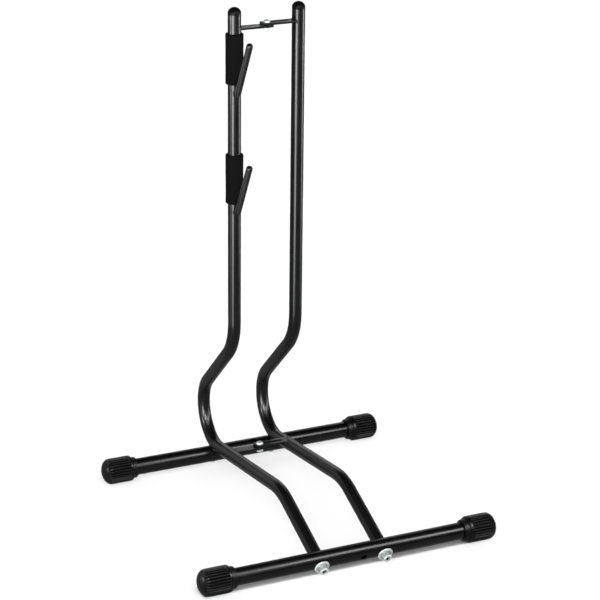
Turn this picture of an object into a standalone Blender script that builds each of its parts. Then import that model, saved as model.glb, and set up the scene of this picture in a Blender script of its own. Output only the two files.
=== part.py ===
"""Floor bike stand: two round cross bars, two bent side tubes and two padded wheel hooks.

One wheel of a bicycle rolls in between the side tubes, or its hub hangs on the hooks. The side
tubes are bolted to the cross bars and tied to each other by two pairs of overlapping straps,
so that the right-hand frame can be bolted nearer to the left-hand one for a narrow wheel.

Units are metres and +Z is up. +Y points from the front bar to the rear bar, and +X to the right
of someone who looks that way. The origin is on the floor, in the middle of the footprint.
"""

import math

import bmesh
import bpy
from mathutils import Matrix, Vector

MM = 0.001
GAP = 0.3 * MM

# Cross bars
OVERALL_WIDTH = 460 * MM
BAR_DIAMETER = 25 * MM
BAR_WALL = 1.5 * MM
BAR_SPACING = 385 * MM

# Rubber end caps, which are also the feet
CAP_DIAMETER = 39 * MM
CAP_DOME_LENGTH = 13.3 * MM
CAP_DOME_FULLNESS = 2.14
CAP_BODY_LENGTH = 40.9 * MM
CAP_SHOULDER_LENGTH = 4.5 * MM
CAP_SHOULDER_DROP = 1.1 * MM
CAP_FLUTE_COUNT = 28
CAP_FLUTE_WIDTH = 1.9 * MM
CAP_FLUTE_DEPTH = 1.1 * MM
CAP_FLUTE_LENGTH = 34 * MM
CAP_RING_DIAMETER = 32.2 * MM
CAP_RING_LENGTH = 7.6 * MM
CAP_END_THICKNESS = 7 * MM

# Side tubes
TUBE_DIAMETER = 19 * MM
TUBE_WALL = 1.5 * MM
TUBE_PITCH = 98.4 * MM
NARROWING = 33 * MM
RAMP_ANGLE = math.radians(22.2)
RAMP_LENGTH = 138 * MM
KNEE_RADIUS = 92 * MM
HEEL_RADIUS = 55.3 * MM
SEAT_TILT = math.radians(14)
STAY_ANGLE = math.radians(137)
NECK_RADIUS = 80 * MM
UPRIGHT_SETBACK = 85 * MM
UPRIGHT_TOP = 728.6 * MM

# Domed plugs in the tops of the uprights
TOP_CAP_RIM = 3.4 * MM
TOP_CAP_DOME = 6.9 * MM
TOP_CAP_STEM = 16 * MM

# Foam sleeves and hooks on the left upright
FOAM_DIAMETER = 26 * MM
FOAM_LENGTH = 72.6 * MM
FOAM_EDGE = 1.2 * MM
FOAM_CLEARANCE = 5.2 * MM
FOAM_PITCH = 176.4 * MM
HOOK_DIAMETER = 9.5 * MM
HOOK_WALL = 1.5 * MM
HOOK_LEAN = math.radians(28)
HOOK_LENGTH = 99 * MM
HOOK_FOOT = 5 * MM
HOOK_CAP_RIM = 3 * MM
HOOK_CAP_DOME = 4.2 * MM
HOOK_CAP_STEM = 12 * MM

# Straps between the side tubes
STRAP_WIDTH = 16 * MM
STRAP_THICKNESS = 3 * MM
STRAP_OVERHANG = 7.5 * MM
TOP_STRAP_DROP = 22 * MM
REAR_STRAP_HEIGHT = 48.3 * MM
REAR_STRAP_SETBACK = 67.5 * MM

# Button screws through the straps and under the rear bar, and the straps' hexagon nuts
BUTTON_BOLT_DIAMETER = 6 * MM
BUTTON_HEAD_DIAMETER = 10.5 * MM
BUTTON_HEAD_HEIGHT = 3.3 * MM
BUTTON_RECESS_ACROSS_FLATS = 4 * MM
BUTTON_RECESS_DEPTH = 1.9 * MM
STRAP_NUT_ACROSS_FLATS = 10 * MM
STRAP_NUT_HEIGHT = 5.2 * MM
STRAP_BOLT_TAIL = 1.5 * MM

# Socket screws and washers on the front bar, with the threaded plugs that they pull on
FRONT_BOLT_DIAMETER = 8 * MM
FRONT_HEAD_DIAMETER = 13 * MM
FRONT_HEAD_HEIGHT = 8 * MM
FRONT_RECESS_ACROSS_FLATS = 6 * MM
FRONT_RECESS_DEPTH = 4 * MM
FRONT_HEAD_CHAMFER = 0.6 * MM
WASHER_DIAMETER = 22 * MM
WASHER_THICKNESS = 1.8 * MM
PLUG_SETBACK = 1.5 * MM
PLUG_LENGTH = 20 * MM

# Rivet nuts that the button screws under the rear bar pull on
RIVET_DIAMETER = 9 * MM
RIVET_LENGTH = 9.5 * MM
RIVET_COLLAR_DIAMETER = 11 * MM
RIVET_COLLAR_START = 3.6 * MM
RIVET_COLLAR_LENGTH = 2.4 * MM

# How finely round shapes are divided
BAR_SIDES = 32
TUBE_BEVEL_STEPS = 6
SMALL_SIDES = 16
DOME_STEPS = 5
BEND_STEP = math.radians(7.4)
CUTTER_REACH = 60 * MM

# Sizes that follow from the ones above
BAR_RADIUS = BAR_DIAMETER / 2
CAP_RADIUS = CAP_DIAMETER / 2
CAP_LENGTH = CAP_BODY_LENGTH + CAP_SHOULDER_LENGTH + CAP_RING_LENGTH
BAR_HEIGHT = CAP_RADIUS
BAR_LENGTH = OVERALL_WIDTH - 2 * (CAP_END_THICKNESS + GAP)
TUBE_RADIUS = TUBE_DIAMETER / 2
TUBE_BORE = TUBE_RADIUS - TUBE_WALL
TUBE_SIDES = 2 * TUBE_BEVEL_STEPS + 4
LEFT_X = -TUBE_PITCH / 2
RIGHT_X = TUBE_PITCH / 2
UPRIGHT_Y = BAR_SPACING - UPRIGHT_SETBACK
REAR_STRAP_Y = BAR_SPACING - REAR_STRAP_SETBACK
FOAM_BOTTOM = UPRIGHT_TOP - TOP_STRAP_DROP - FOAM_CLEARANCE - FOAM_LENGTH
FOAM_BOTTOMS = (FOAM_BOTTOM, FOAM_BOTTOM - FOAM_PITCH)
HOOK_RADIUS = HOOK_DIAMETER / 2
WASHER_SEAT = BAR_RADIUS + GAP
FRONT_HEAD_SEAT = WASHER_SEAT + WASHER_THICKNESS + GAP
FRONT_HEAD_TOP = FRONT_HEAD_SEAT + FRONT_HEAD_HEIGHT

# Turns that lay a piece's Z along a bar, a front screw's line or a rear screw's line
ALONG_X = (0.0, math.pi / 2, 0.0)
RAMP_TURN = (RAMP_ANGLE - math.pi / 2, 0.0, 0.0)
SEAT_TURN = (SEAT_TILT, 0.0, 0.0)

# Finishes: colour, roughness and metallic value
POWDER_COAT = ((0.020, 0.020, 0.021), 0.38, 0.0)
GREY_COAT = ((0.055, 0.055, 0.057), 0.34, 0.15)
RUBBER = ((0.012, 0.012, 0.012), 0.62, 0.0)
FOAM = ((0.010, 0.010, 0.010), 0.90, 0.0)
PLASTIC = ((0.008, 0.008, 0.008), 0.30, 0.0)
ZINC = ((0.72, 0.73, 0.70), 0.32, 1.0)


def arc_centre_of_heel():
    """Return (y, z) of the centre of the bend that rests on the rear bar."""
    reach = HEEL_RADIUS + TUBE_RADIUS + BAR_RADIUS + GAP
    y = BAR_SPACING - reach * math.sin(SEAT_TILT)
    z = BAR_HEIGHT + reach * math.cos(SEAT_TILT)
    return y, z


def knee_corner():
    """Return (y, z) where the ramp's line and the descending line cross."""
    y = RAMP_LENGTH * math.cos(RAMP_ANGLE)
    z = BAR_HEIGHT + RAMP_LENGTH * math.sin(RAMP_ANGLE)
    return y, z


def descent_angle():
    """Return the slope of the line from the knee that touches the heel bend from below."""
    knee_y, knee_z = knee_corner()
    heel_y, heel_z = arc_centre_of_heel()
    span = math.hypot(heel_y - knee_y, heel_z - knee_z)
    return math.atan2(heel_z - knee_z, heel_y - knee_y) - math.asin(HEEL_RADIUS / span)


def neck_corner():
    """Return (y, z) where the diagonal stay's line meets the upright's line."""
    heel_y, heel_z = arc_centre_of_heel()
    start_y = heel_y + HEEL_RADIUS * math.sin(STAY_ANGLE)
    start_z = heel_z - HEEL_RADIUS * math.cos(STAY_ANGLE)
    return UPRIGHT_Y, start_z + (UPRIGHT_Y - start_y) * math.tan(STAY_ANGLE)


def bend_points(corner, radius, angle_in, angle_out):
    """Return (y, z) points of a bend that rounds a corner between two directions."""
    turn = angle_out - angle_in
    side = math.copysign(1, turn)
    tangent = radius * math.tan(abs(turn) / 2)
    start_y = corner[0] - tangent * math.cos(angle_in)
    start_z = corner[1] - tangent * math.sin(angle_in)
    centre_y = start_y - side * radius * math.sin(angle_in)
    centre_z = start_z + side * radius * math.cos(angle_in)
    return arc_points(centre_y, centre_z, side * radius, angle_in, angle_out)


def arc_points(centre_y, centre_z, radius, angle_in, angle_out):
    """Return (y, z) points of an arc, given the directions at its two ends."""
    count = max(2, round(abs(angle_out - angle_in) / BEND_STEP))
    angles = [angle_in + (angle_out - angle_in) * step / count for step in range(count + 1)]
    return [(centre_y + radius * math.sin(a), centre_z - radius * math.cos(a)) for a in angles]


def side_tube_path():
    """Return the (y, z) points of a side tube's axis, from the front bar to the top."""
    slope = descent_angle()
    heel_y, heel_z = arc_centre_of_heel()
    path = [(0.0, BAR_HEIGHT)]
    path += bend_points(knee_corner(), KNEE_RADIUS, RAMP_ANGLE, slope)
    path += arc_points(heel_y, heel_z, HEEL_RADIUS, slope, STAY_ANGLE)
    path += bend_points(neck_corner(), NECK_RADIUS, STAY_ANGLE, math.pi / 2)
    path.append((UPRIGHT_Y, UPRIGHT_TOP))
    return path


def front_reach():
    """Return how far the front screws' heads stand in front of the front bar's axis."""
    rim = FRONT_HEAD_DIAMETER / 2 - FRONT_HEAD_CHAMFER
    head = FRONT_HEAD_TOP * math.cos(RAMP_ANGLE) + rim * math.sin(RAMP_ANGLE)
    return max(head, CAP_RADIUS)


def rear_reach():
    """Return how far the stand runs behind the front bar's axis."""
    heel = arc_centre_of_heel()[0] + HEEL_RADIUS + TUBE_RADIUS
    return max(heel, BAR_SPACING + CAP_RADIUS)


def clear_scene():
    """Remove every object of the scene."""
    for old in list(bpy.data.objects):
        bpy.data.objects.remove(old, do_unlink=True)


def make_collection(name):
    """Return a new collection, linked to the scene."""
    collection = bpy.data.collections.new(name)
    bpy.context.scene.collection.children.link(collection)
    return collection


def make_material(name, finish):
    """Return a new Principled material with a finish's colour, roughness and metallic value."""
    colour, roughness, metallic = finish
    material = bpy.data.materials.new(name)
    material.use_nodes = True
    shader = material.node_tree.nodes["Principled BSDF"]
    shader.inputs["Base Color"].default_value = (*colour, 1.0)
    shader.inputs["Roughness"].default_value = roughness
    shader.inputs["Metallic"].default_value = metallic
    return material


def shade(mesh):
    """Shade a mesh smooth and keep its sharp edges."""
    mesh.shade_smooth()
    mesh.set_sharp_from_angle(angle=math.radians(35))
    return mesh


def mesh_from(bm, name):
    """Turn a bmesh into a shaded mesh and free it."""
    mesh = bpy.data.meshes.new(name)
    bm.to_mesh(mesh)
    bm.free()
    return shade(mesh)


def cylinder_mesh(name, radius, length, sides, caps=True):
    """Return a cylinder along Z that is centred on the origin."""
    bm = bmesh.new()
    bmesh.ops.create_cone(bm, cap_ends=caps, segments=sides, radius1=radius, radius2=radius,
                          depth=length)
    return mesh_from(bm, name)


def box_mesh(name, size):
    """Return a box that is centred on the origin."""
    bm = bmesh.new()
    bmesh.ops.create_cube(bm, size=1.0)
    bmesh.ops.scale(bm, vec=size, verts=bm.verts)
    return mesh_from(bm, name)


def baked_mesh(temporary, name):
    """Return the evaluated mesh of a temporary object, welded, and remove the object."""
    bpy.context.scene.collection.objects.link(temporary)
    graph = bpy.context.evaluated_depsgraph_get()
    mesh = bpy.data.meshes.new_from_object(temporary.evaluated_get(graph))
    mesh.name = name
    bpy.data.objects.remove(temporary, do_unlink=True)
    bm = bmesh.new()
    bm.from_mesh(mesh)
    bmesh.ops.remove_doubles(bm, verts=bm.verts, dist=0.01 * MM)
    bm.to_mesh(mesh)
    bm.free()
    return shade(mesh)


def turned_mesh(name, profile, sides, closed=False):
    """Return a solid turned about Z from (radius, height) points, outer side from the top down.

    A profile that starts and ends on the axis needs no closing edge, and a ring's does.
    """
    outline = bpy.data.meshes.new(name + "_profile")
    edges = [(i, i + 1) for i in range(len(profile) - 1)]
    if closed:
        edges.append((len(profile) - 1, 0))
    outline.from_pydata([(radius, 0.0, height) for radius, height in profile], edges, [])
    temporary = bpy.data.objects.new(name + "_profile", outline)
    screw = temporary.modifiers.new("turn", "SCREW")
    screw.axis = "Z"
    screw.steps = sides
    screw.render_steps = sides
    screw.use_merge_vertices = True
    screw.merge_threshold = 0.01 * MM
    return baked_mesh(temporary, name)


def swept_mesh(name, points, radius):
    """Return an open tube skin along a path of points."""
    curve = bpy.data.curves.new(name, "CURVE")
    curve.dimensions = "3D"
    curve.bevel_depth = radius
    curve.bevel_resolution = TUBE_BEVEL_STEPS
    spline = curve.splines.new("POLY")
    spline.points.add(len(points) - 1)
    for spot, point in zip(spline.points, points):
        spot.co = (*point, 1.0)
    return baked_mesh(bpy.data.objects.new(name, curve), name)


def around(radius, sides):
    """Return the corner radius of a polygon whose flats clear a circle of the given radius."""
    return radius / math.cos(math.pi / sides)


class Workshop:
    """Keeps the stand's collections and its base empty, and adds pieces and cutters."""

    def __init__(self):
        self.parts = make_collection("floor_bike_stand")
        self.cutters = make_collection("cutters")
        self.base = bpy.data.objects.new("front_bar_line", None)
        self.base.location = (0.0, (front_reach() - rear_reach()) / 2, 0.0)
        self.parts.objects.link(self.base)

    def place(self, collection, name, mesh, location, rotation, order):
        """Link an object at a place that is measured from the front bar's line."""
        piece = bpy.data.objects.new(name, mesh)
        collection.objects.link(piece)
        piece.parent = self.base
        piece.location = location
        piece.rotation_mode = order
        piece.rotation_euler = rotation
        return piece

    def add(self, name, mesh, finish, location=(0, 0, 0), rotation=(0, 0, 0), order="XYZ"):
        """Add a piece of the stand with a material of its own."""
        piece = self.place(self.parts, name, mesh, location, rotation, order)
        piece.data.materials.clear()
        piece.data.materials.append(make_material(name, finish))
        return piece

    def cut(self, piece, mesh, location, rotation=(0, 0, 0), operation="DIFFERENCE"):
        """Cut a mesh out of a piece, or join it to the piece."""
        name = f"{piece.name}_tool_{len(piece.modifiers)}"
        tool = self.place(self.cutters, name, mesh, location, rotation, piece.rotation_mode)
        tool.hide_render = True
        tool.display_type = "WIRE"
        boolean = piece.modifiers.new(name, "BOOLEAN")
        boolean.operation = operation
        boolean.solver = "EXACT"
        boolean.object = tool
        return piece


def wall(piece, thickness):
    """Give an open skin its wall, inwards."""
    solidify = piece.modifiers.new("wall", "SOLIDIFY")
    solidify.thickness = thickness
    solidify.offset = -1
    return piece


def side_x(side):
    """Return the X of a side tube's axis."""
    return LEFT_X if side == "left" else RIGHT_X


def along_ramp(distance, x):
    """Return a point on a front screw's line, which crosses the front bar's axis."""
    return Vector((x, distance * math.cos(RAMP_ANGLE),
                   BAR_HEIGHT + distance * math.sin(RAMP_ANGLE)))


def along_seat(distance, x):
    """Return a point on a rear screw's line, which crosses the rear bar's axis."""
    return Vector((x, BAR_SPACING - distance * math.sin(SEAT_TILT),
                   BAR_HEIGHT + distance * math.cos(SEAT_TILT)))


def build_cross_bars(shop):
    """Build both cross bars, with the screws' holes and the spare holes of the narrow setting."""
    front = shop.add("front_cross_tube", cylinder_mesh("front_bar", BAR_RADIUS, BAR_LENGTH,
                                                       BAR_SIDES, caps=False),
                     POWDER_COAT, (0.0, 0.0, BAR_HEIGHT), ALONG_X)
    rear = shop.add("rear_cross_tube", cylinder_mesh("rear_bar", BAR_RADIUS, BAR_LENGTH,
                                                     BAR_SIDES, caps=False),
                    POWDER_COAT, (0.0, BAR_SPACING, BAR_HEIGHT), ALONG_X)
    wall(front, BAR_WALL)
    wall(rear, BAR_WALL)
    front_hole = cylinder_mesh("front_hole", FRONT_BOLT_DIAMETER / 2 + GAP, CUTTER_REACH,
                               SMALL_SIDES)
    rear_hole = cylinder_mesh("rear_hole", BUTTON_BOLT_DIAMETER / 2 + GAP, CUTTER_REACH,
                              SMALL_SIDES)
    for x in (LEFT_X, RIGHT_X, RIGHT_X - NARROWING):
        shop.cut(front, front_hole, along_ramp(0, x), RAMP_TURN)
        shop.cut(rear, rear_hole, along_seat(0, x), SEAT_TURN)


def end_cap_profile():
    """Return the turned outline of an end cap with its dome up, as (radius, height) points."""
    rim = around(CAP_RADIUS, CAP_FLUTE_COUNT)
    dome_base = CAP_LENGTH - CAP_DOME_LENGTH
    power = 2 / CAP_DOME_FULLNESS
    angles = [math.pi / 2 * step / DOME_STEPS for step in range(DOME_STEPS + 1)]
    profile = [(rim * math.sin(a) ** power,
                dome_base + CAP_DOME_LENGTH * max(math.cos(a), 0) ** power) for a in angles]
    shoulder = CAP_RING_LENGTH + CAP_SHOULDER_LENGTH
    for angle in (0.0, math.pi / 4, math.pi / 2):
        profile.append((rim - CAP_SHOULDER_DROP * (1 - math.cos(angle)),
                        shoulder - CAP_SHOULDER_LENGTH * math.sin(angle)))
    profile.append((CAP_RING_DIAMETER / 2, CAP_RING_LENGTH))
    bore = around(BAR_RADIUS + GAP, CAP_FLUTE_COUNT)
    profile += [(CAP_RING_DIAMETER / 2, 0.0), (bore, 0.0)]
    profile += [(bore, CAP_LENGTH - CAP_END_THICKNESS), (0.0, CAP_LENGTH - CAP_END_THICKNESS)]
    return profile


def flute_cutter_mesh():
    """Return one mesh with a bar for every flute of an end cap, in the cap's own place."""
    bm = bmesh.new()
    middle = CAP_RING_LENGTH + CAP_SHOULDER_LENGTH + CAP_FLUTE_LENGTH / 2
    for index in range(CAP_FLUTE_COUNT):
        made = bmesh.ops.create_cube(bm, size=1.0)["verts"]
        bmesh.ops.scale(bm, vec=(2 * CAP_FLUTE_DEPTH, CAP_FLUTE_WIDTH, CAP_FLUTE_LENGTH),
                        verts=made)
        rim = around(CAP_RADIUS, CAP_FLUTE_COUNT)
        bmesh.ops.translate(bm, vec=(rim, 0.0, middle), verts=made)
        turn = 2 * math.pi * index / CAP_FLUTE_COUNT
        bmesh.ops.rotate(bm, verts=made, matrix=Matrix.Rotation(turn, 3, "Z"))
    return mesh_from(bm, "flutes")


def build_end_caps(shop):
    """Build the four ribbed rubber caps, each with one rib flat on the floor."""
    half_rib = math.pi / CAP_FLUTE_COUNT
    for row, y in (("front", 0.0), ("rear", BAR_SPACING)):
        for side, sign in (("left", -1), ("right", 1)):
            place = (sign * (OVERALL_WIDTH / 2 - CAP_LENGTH), y, BAR_HEIGHT)
            turn = (0.0, sign * math.pi / 2, half_rib)
            cap = shop.add(f"end_cap_{row}_{side}",
                           turned_mesh("end_cap", end_cap_profile(), CAP_FLUTE_COUNT),
                           RUBBER, place, turn, "ZYX")
            shop.cut(cap, flute_cutter_mesh(), place, turn)


def build_side_tubes(shop):
    """Build the two side tubes, each coped to the front bar and drilled for its rear screw."""
    cope = cylinder_mesh("cope", BAR_RADIUS + GAP, CUTTER_REACH, BAR_SIDES)
    hole_length = 2 * (TUBE_WALL + GAP)
    hole = cylinder_mesh("rivet_hole", RIVET_DIAMETER / 2 + GAP, 2 * hole_length, SMALL_SIDES)
    skin = [(0.0, y, z) for y, z in side_tube_path()]
    for side in ("left", "right"):
        x = side_x(side)
        tube = shop.add(f"side_tube_{side}", swept_mesh("side_tube", skin, TUBE_RADIUS),
                        GREY_COAT, (x, 0.0, 0.0))
        wall(tube, TUBE_WALL)
        shop.cut(tube, cope, (x, 0.0, BAR_HEIGHT), ALONG_X)
        shop.cut(tube, hole, along_seat(BAR_RADIUS + hole_length / 2, x), SEAT_TURN)


def domed_plug_profile(radius, rim, dome, stem_radius, stem):
    """Return the outline of a plug with a ball-shaped top, whose rim stands on height 0."""
    ball = (radius ** 2 + dome ** 2) / (2 * dome)
    widest = math.atan2(radius, ball - dome)
    angles = [widest * step / DOME_STEPS for step in range(DOME_STEPS + 1)]
    profile = [(ball * math.sin(a), rim + dome - ball + ball * math.cos(a)) for a in angles]
    profile += [(radius, 0.0), (stem_radius, 0.0), (stem_radius, -stem), (0.0, -stem)]
    return profile


def build_top_caps(shop):
    """Build the domed plugs in the uprights' open tops."""
    profile = domed_plug_profile(TUBE_RADIUS, TOP_CAP_RIM, TOP_CAP_DOME, TUBE_BORE - GAP,
                                 TOP_CAP_STEM)
    for side in ("left", "right"):
        shop.add(f"top_cap_{side}", turned_mesh("top_cap", profile, SMALL_SIDES), PLASTIC,
                 (side_x(side), UPRIGHT_Y, UPRIGHT_TOP + GAP))


def build_foam_sleeves(shop):
    """Build the two foam sleeves that keep a wheel rim off the left upright."""
    outer = FOAM_DIAMETER / 2
    inner = around(TUBE_RADIUS + GAP, SMALL_SIDES)
    profile = [(inner, FOAM_LENGTH), (outer - FOAM_EDGE, FOAM_LENGTH),
               (outer, FOAM_LENGTH - FOAM_EDGE), (outer, FOAM_EDGE), (outer - FOAM_EDGE, 0.0),
               (inner, 0.0)]
    for place, bottom in zip(("upper", "lower"), FOAM_BOTTOMS):
        shop.add(f"foam_sleeve_{place}", turned_mesh("foam_sleeve", profile, SMALL_SIDES, True),
                 FOAM, (LEFT_X, UPRIGHT_Y, bottom))


def hook_drop():
    """Return how far below a sleeve its hook leaves the upright, so as to clear the foam."""
    clearance = FOAM_DIAMETER / 2 - TUBE_RADIUS + (HOOK_RADIUS + GAP) / math.cos(HOOK_LEAN)
    return clearance / math.tan(HOOK_LEAN)


def along_hook(distance, bottom):
    """Return a point on a hook's axis, counted from the front face of the left upright."""
    return Vector((LEFT_X, UPRIGHT_Y - TUBE_RADIUS - distance * math.sin(HOOK_LEAN),
                   bottom - hook_drop() + distance * math.cos(HOOK_LEAN)))


def build_hooks(shop):
    """Build the two leaning hooks, notched onto the upright, and their domed tip plugs."""
    end = HOOK_LENGTH - HOOK_CAP_RIM - HOOK_CAP_DOME
    lean = (HOOK_LEAN, 0.0, 0.0)
    cope = cylinder_mesh("hook_cope", around(TUBE_RADIUS + GAP, TUBE_SIDES), 2 * CUTTER_REACH,
                         TUBE_SIDES)
    plug = domed_plug_profile(HOOK_RADIUS, HOOK_CAP_RIM, HOOK_CAP_DOME,
                              HOOK_RADIUS - HOOK_WALL - GAP, HOOK_CAP_STEM)
    for place, bottom in zip(("upper", "lower"), FOAM_BOTTOMS):
        rod = shop.add(f"hook_rod_{place}",
                       cylinder_mesh("hook_rod", HOOK_RADIUS, end - HOOK_FOOT, SMALL_SIDES,
                                     False),
                       GREY_COAT, along_hook((HOOK_FOOT + end) / 2, bottom), lean)
        wall(rod, HOOK_WALL)
        shop.cut(rod, cope, (LEFT_X, UPRIGHT_Y, bottom - hook_drop()))
        shop.add(f"hook_cap_{place}", turned_mesh("hook_cap", plug, SMALL_SIDES), PLASTIC,
                 along_hook(end + GAP, bottom), lean)


def slot_mesh(name, length, radius, depth):
    """Return a round-ended slot cutter that runs from the origin along +X."""
    curve = bpy.data.curves.new(name, "CURVE")
    curve.dimensions = "2D"
    curve.fill_mode = "BOTH"
    curve.extrude = depth / 2
    steps = SMALL_SIDES // 2
    spline = curve.splines.new("POLY")
    spline.points.add(2 * steps + 1)
    spline.use_cyclic_u = True
    for index, spot in enumerate(spline.points):
        angle = math.pi / 2 + math.pi * (index if index <= steps else index - 1) / steps
        centre = 0.0 if index <= steps else length
        spot.co = (centre + radius * math.cos(angle), radius * math.sin(angle), 0.0, 1.0)
    return baked_mesh(bpy.data.objects.new(name, curve), name)


def build_strap_pair(shop, row, y, height, tube_turn, tube_height):
    """Build the overlapping straps of one row with their bolt and nut.

    The left strap lies below and has a plain hole. The right one lies above it and is slotted,
    because it slides over the bolt when the stand is made narrower.
    """
    reach = TUBE_PITCH / 2 + STRAP_OVERHANG
    size = (reach, STRAP_WIDTH, STRAP_THICKNESS)
    cope = cylinder_mesh("strap_cope", around(TUBE_RADIUS + GAP, TUBE_SIDES), 2 * CUTTER_REACH,
                         TUBE_SIDES)
    hole_radius = BUTTON_BOLT_DIAMETER / 2 + GAP
    middle = (STRAP_OVERHANG - TUBE_PITCH / 2) / 2
    lower = height + STRAP_THICKNESS / 2
    upper = lower + STRAP_THICKNESS + GAP
    left = shop.add(f"strap_{row}_left", box_mesh("strap", size), GREY_COAT, (middle, y, lower))
    shop.cut(left, cope, (LEFT_X, y, tube_height), tube_turn)
    shop.cut(left, cylinder_mesh("bolt_hole", hole_radius, 2 * STRAP_THICKNESS, SMALL_SIDES),
             (0.0, y, lower))
    right = shop.add(f"strap_{row}_right", box_mesh("strap", size), GREY_COAT,
                     (-middle, y, upper))
    shop.cut(right, cope, (RIGHT_X, y, tube_height), tube_turn)
    shop.cut(right, slot_mesh("slot", NARROWING, hole_radius, 2 * STRAP_THICKNESS),
             (0.0, y, upper))
    build_strap_bolt(shop, row, y, height)


def button_bolt_profile(length):
    """Return the outline of a button screw whose head stands on height 0, over its shank."""
    head, shank = BUTTON_HEAD_DIAMETER / 2, BUTTON_BOLT_DIAMETER / 2
    return [(0.0, BUTTON_HEAD_HEIGHT), (0.55 * head, BUTTON_HEAD_HEIGHT),
            (0.85 * head, 0.7 * BUTTON_HEAD_HEIGHT), (head, 0.25 * BUTTON_HEAD_HEIGHT),
            (head, 0.0), (shank, 0.0), (shank, -length), (0.0, -length)]


def button_recess_mesh():
    """Return the cutter of a button screw's hexagon recess, centred on the head's top."""
    return cylinder_mesh("recess", around(BUTTON_RECESS_ACROSS_FLATS / 2, 6),
                         2 * BUTTON_RECESS_DEPTH, 6)


def build_strap_bolt(shop, row, y, height):
    """Build the button screw and the nut that clamp one pair of straps."""
    seat = height + 2 * STRAP_THICKNESS + 2 * GAP
    tail = height - GAP - STRAP_NUT_HEIGHT - STRAP_BOLT_TAIL
    screw = shop.add(f"strap_bolt_{row}",
                     turned_mesh("strap_bolt", button_bolt_profile(seat - tail), SMALL_SIDES),
                     ZINC, (0.0, y, seat))
    shop.cut(screw, button_recess_mesh(), (0.0, y, seat + BUTTON_HEAD_HEIGHT))
    middle = height - GAP - STRAP_NUT_HEIGHT / 2
    nut = shop.add(f"strap_nut_{row}",
                   cylinder_mesh("hex_nut", around(STRAP_NUT_ACROSS_FLATS / 2, 6),
                                 STRAP_NUT_HEIGHT, 6),
                   ZINC, (0.0, y, middle))
    shop.cut(nut, cylinder_mesh("nut_bore", BUTTON_BOLT_DIAMETER / 2 + GAP,
                                2 * STRAP_NUT_HEIGHT, SMALL_SIDES), (0.0, y, middle))


def build_straps(shop):
    """Build the top pair between the uprights and the rear pair between the descending runs."""
    top = UPRIGHT_TOP - TOP_STRAP_DROP
    build_strap_pair(shop, "top", UPRIGHT_Y, top, (0.0, 0.0, 0.0), top)
    slope = descent_angle()
    knee_y, knee_z = knee_corner()
    tube_height = knee_z + (REAR_STRAP_Y - knee_y) * math.tan(slope)
    build_strap_pair(shop, "rear", REAR_STRAP_Y, REAR_STRAP_HEIGHT,
                     (slope - math.pi / 2, 0.0, 0.0), tube_height)


def ring_mesh(name, outer, inner, thickness, sides):
    """Return a flat ring that stands on the origin along +Z."""
    profile = [(inner, thickness), (outer, thickness), (outer, 0.0), (inner, 0.0)]
    return turned_mesh(name, profile, sides, True)


def build_front_screws(shop):
    """Build the front screws, their washers and the threaded plugs in the side tubes."""
    head, shank = FRONT_HEAD_DIAMETER / 2, FRONT_BOLT_DIAMETER / 2
    plug_start = BAR_RADIUS + GAP + PLUG_SETBACK
    length = FRONT_HEAD_SEAT + plug_start + PLUG_LENGTH
    profile = [(0.0, FRONT_HEAD_HEIGHT), (head - FRONT_HEAD_CHAMFER, FRONT_HEAD_HEIGHT),
               (head, FRONT_HEAD_HEIGHT - FRONT_HEAD_CHAMFER), (head, 0.0), (shank, 0.0),
               (shank, -length), (0.0, -length)]
    outward = (RAMP_ANGLE + math.pi / 2, 0.0, 0.0)
    recess = cylinder_mesh("recess", around(FRONT_RECESS_ACROSS_FLATS / 2, 6),
                           2 * FRONT_RECESS_DEPTH, 6)
    for side in ("left", "right"):
        x = side_x(side)
        screw = shop.add(f"front_bolt_{side}", turned_mesh("front_bolt", profile, SMALL_SIDES),
                         ZINC, along_ramp(-FRONT_HEAD_SEAT, x), outward)
        shop.cut(screw, recess, along_ramp(-FRONT_HEAD_TOP, x), outward)
        shop.add(f"front_washer_{side}",
                 ring_mesh("washer", WASHER_DIAMETER / 2, shank + GAP, WASHER_THICKNESS,
                           CAP_FLUTE_COUNT),
                 ZINC, along_ramp(-WASHER_SEAT, x), outward)
        shop.add(f"threaded_plug_{side}",
                 ring_mesh("plug", TUBE_BORE - GAP, shank + GAP, PLUG_LENGTH, SMALL_SIDES),
                 ZINC, along_ramp(plug_start, x), RAMP_TURN)


def build_rear_screws(shop):
    """Build the rear button screws and the rivet nuts in the side tubes."""
    rivet_start = BAR_RADIUS + 2 * GAP
    seat = BAR_RADIUS + GAP
    profile = button_bolt_profile(seat + rivet_start + RIVET_LENGTH)
    body, bore = RIVET_DIAMETER / 2, BUTTON_BOLT_DIAMETER / 2 + GAP
    collar, low = RIVET_COLLAR_DIAMETER / 2, RIVET_COLLAR_START
    high = low + RIVET_COLLAR_LENGTH
    rivet = [(bore, RIVET_LENGTH), (body, RIVET_LENGTH), (body, high), (collar, high),
             (collar, low), (body, low), (body, 0.0), (bore, 0.0)]
    downward = (SEAT_TILT + math.pi, 0.0, 0.0)
    for side in ("left", "right"):
        x = side_x(side)
        screw = shop.add(f"rear_bolt_{side}", turned_mesh("rear_bolt", profile, SMALL_SIDES),
                         ZINC, along_seat(-seat, x), downward)
        shop.cut(screw, button_recess_mesh(), along_seat(-seat - BUTTON_HEAD_HEIGHT, x), downward)
        shop.add(f"rivet_nut_{side}", turned_mesh("rivet_nut", rivet, SMALL_SIDES, True), ZINC,
                 along_seat(rivet_start, x), SEAT_TURN)


def main():
    """Build the whole stand."""
    clear_scene()
    shop = Workshop()
    build_cross_bars(shop)
    build_end_caps(shop)
    build_side_tubes(shop)
    build_top_caps(shop)
    build_foam_sleeves(shop)
    build_hooks(shop)
    build_straps(shop)
    build_front_screws(shop)
    build_rear_screws(shop)


main()
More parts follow.
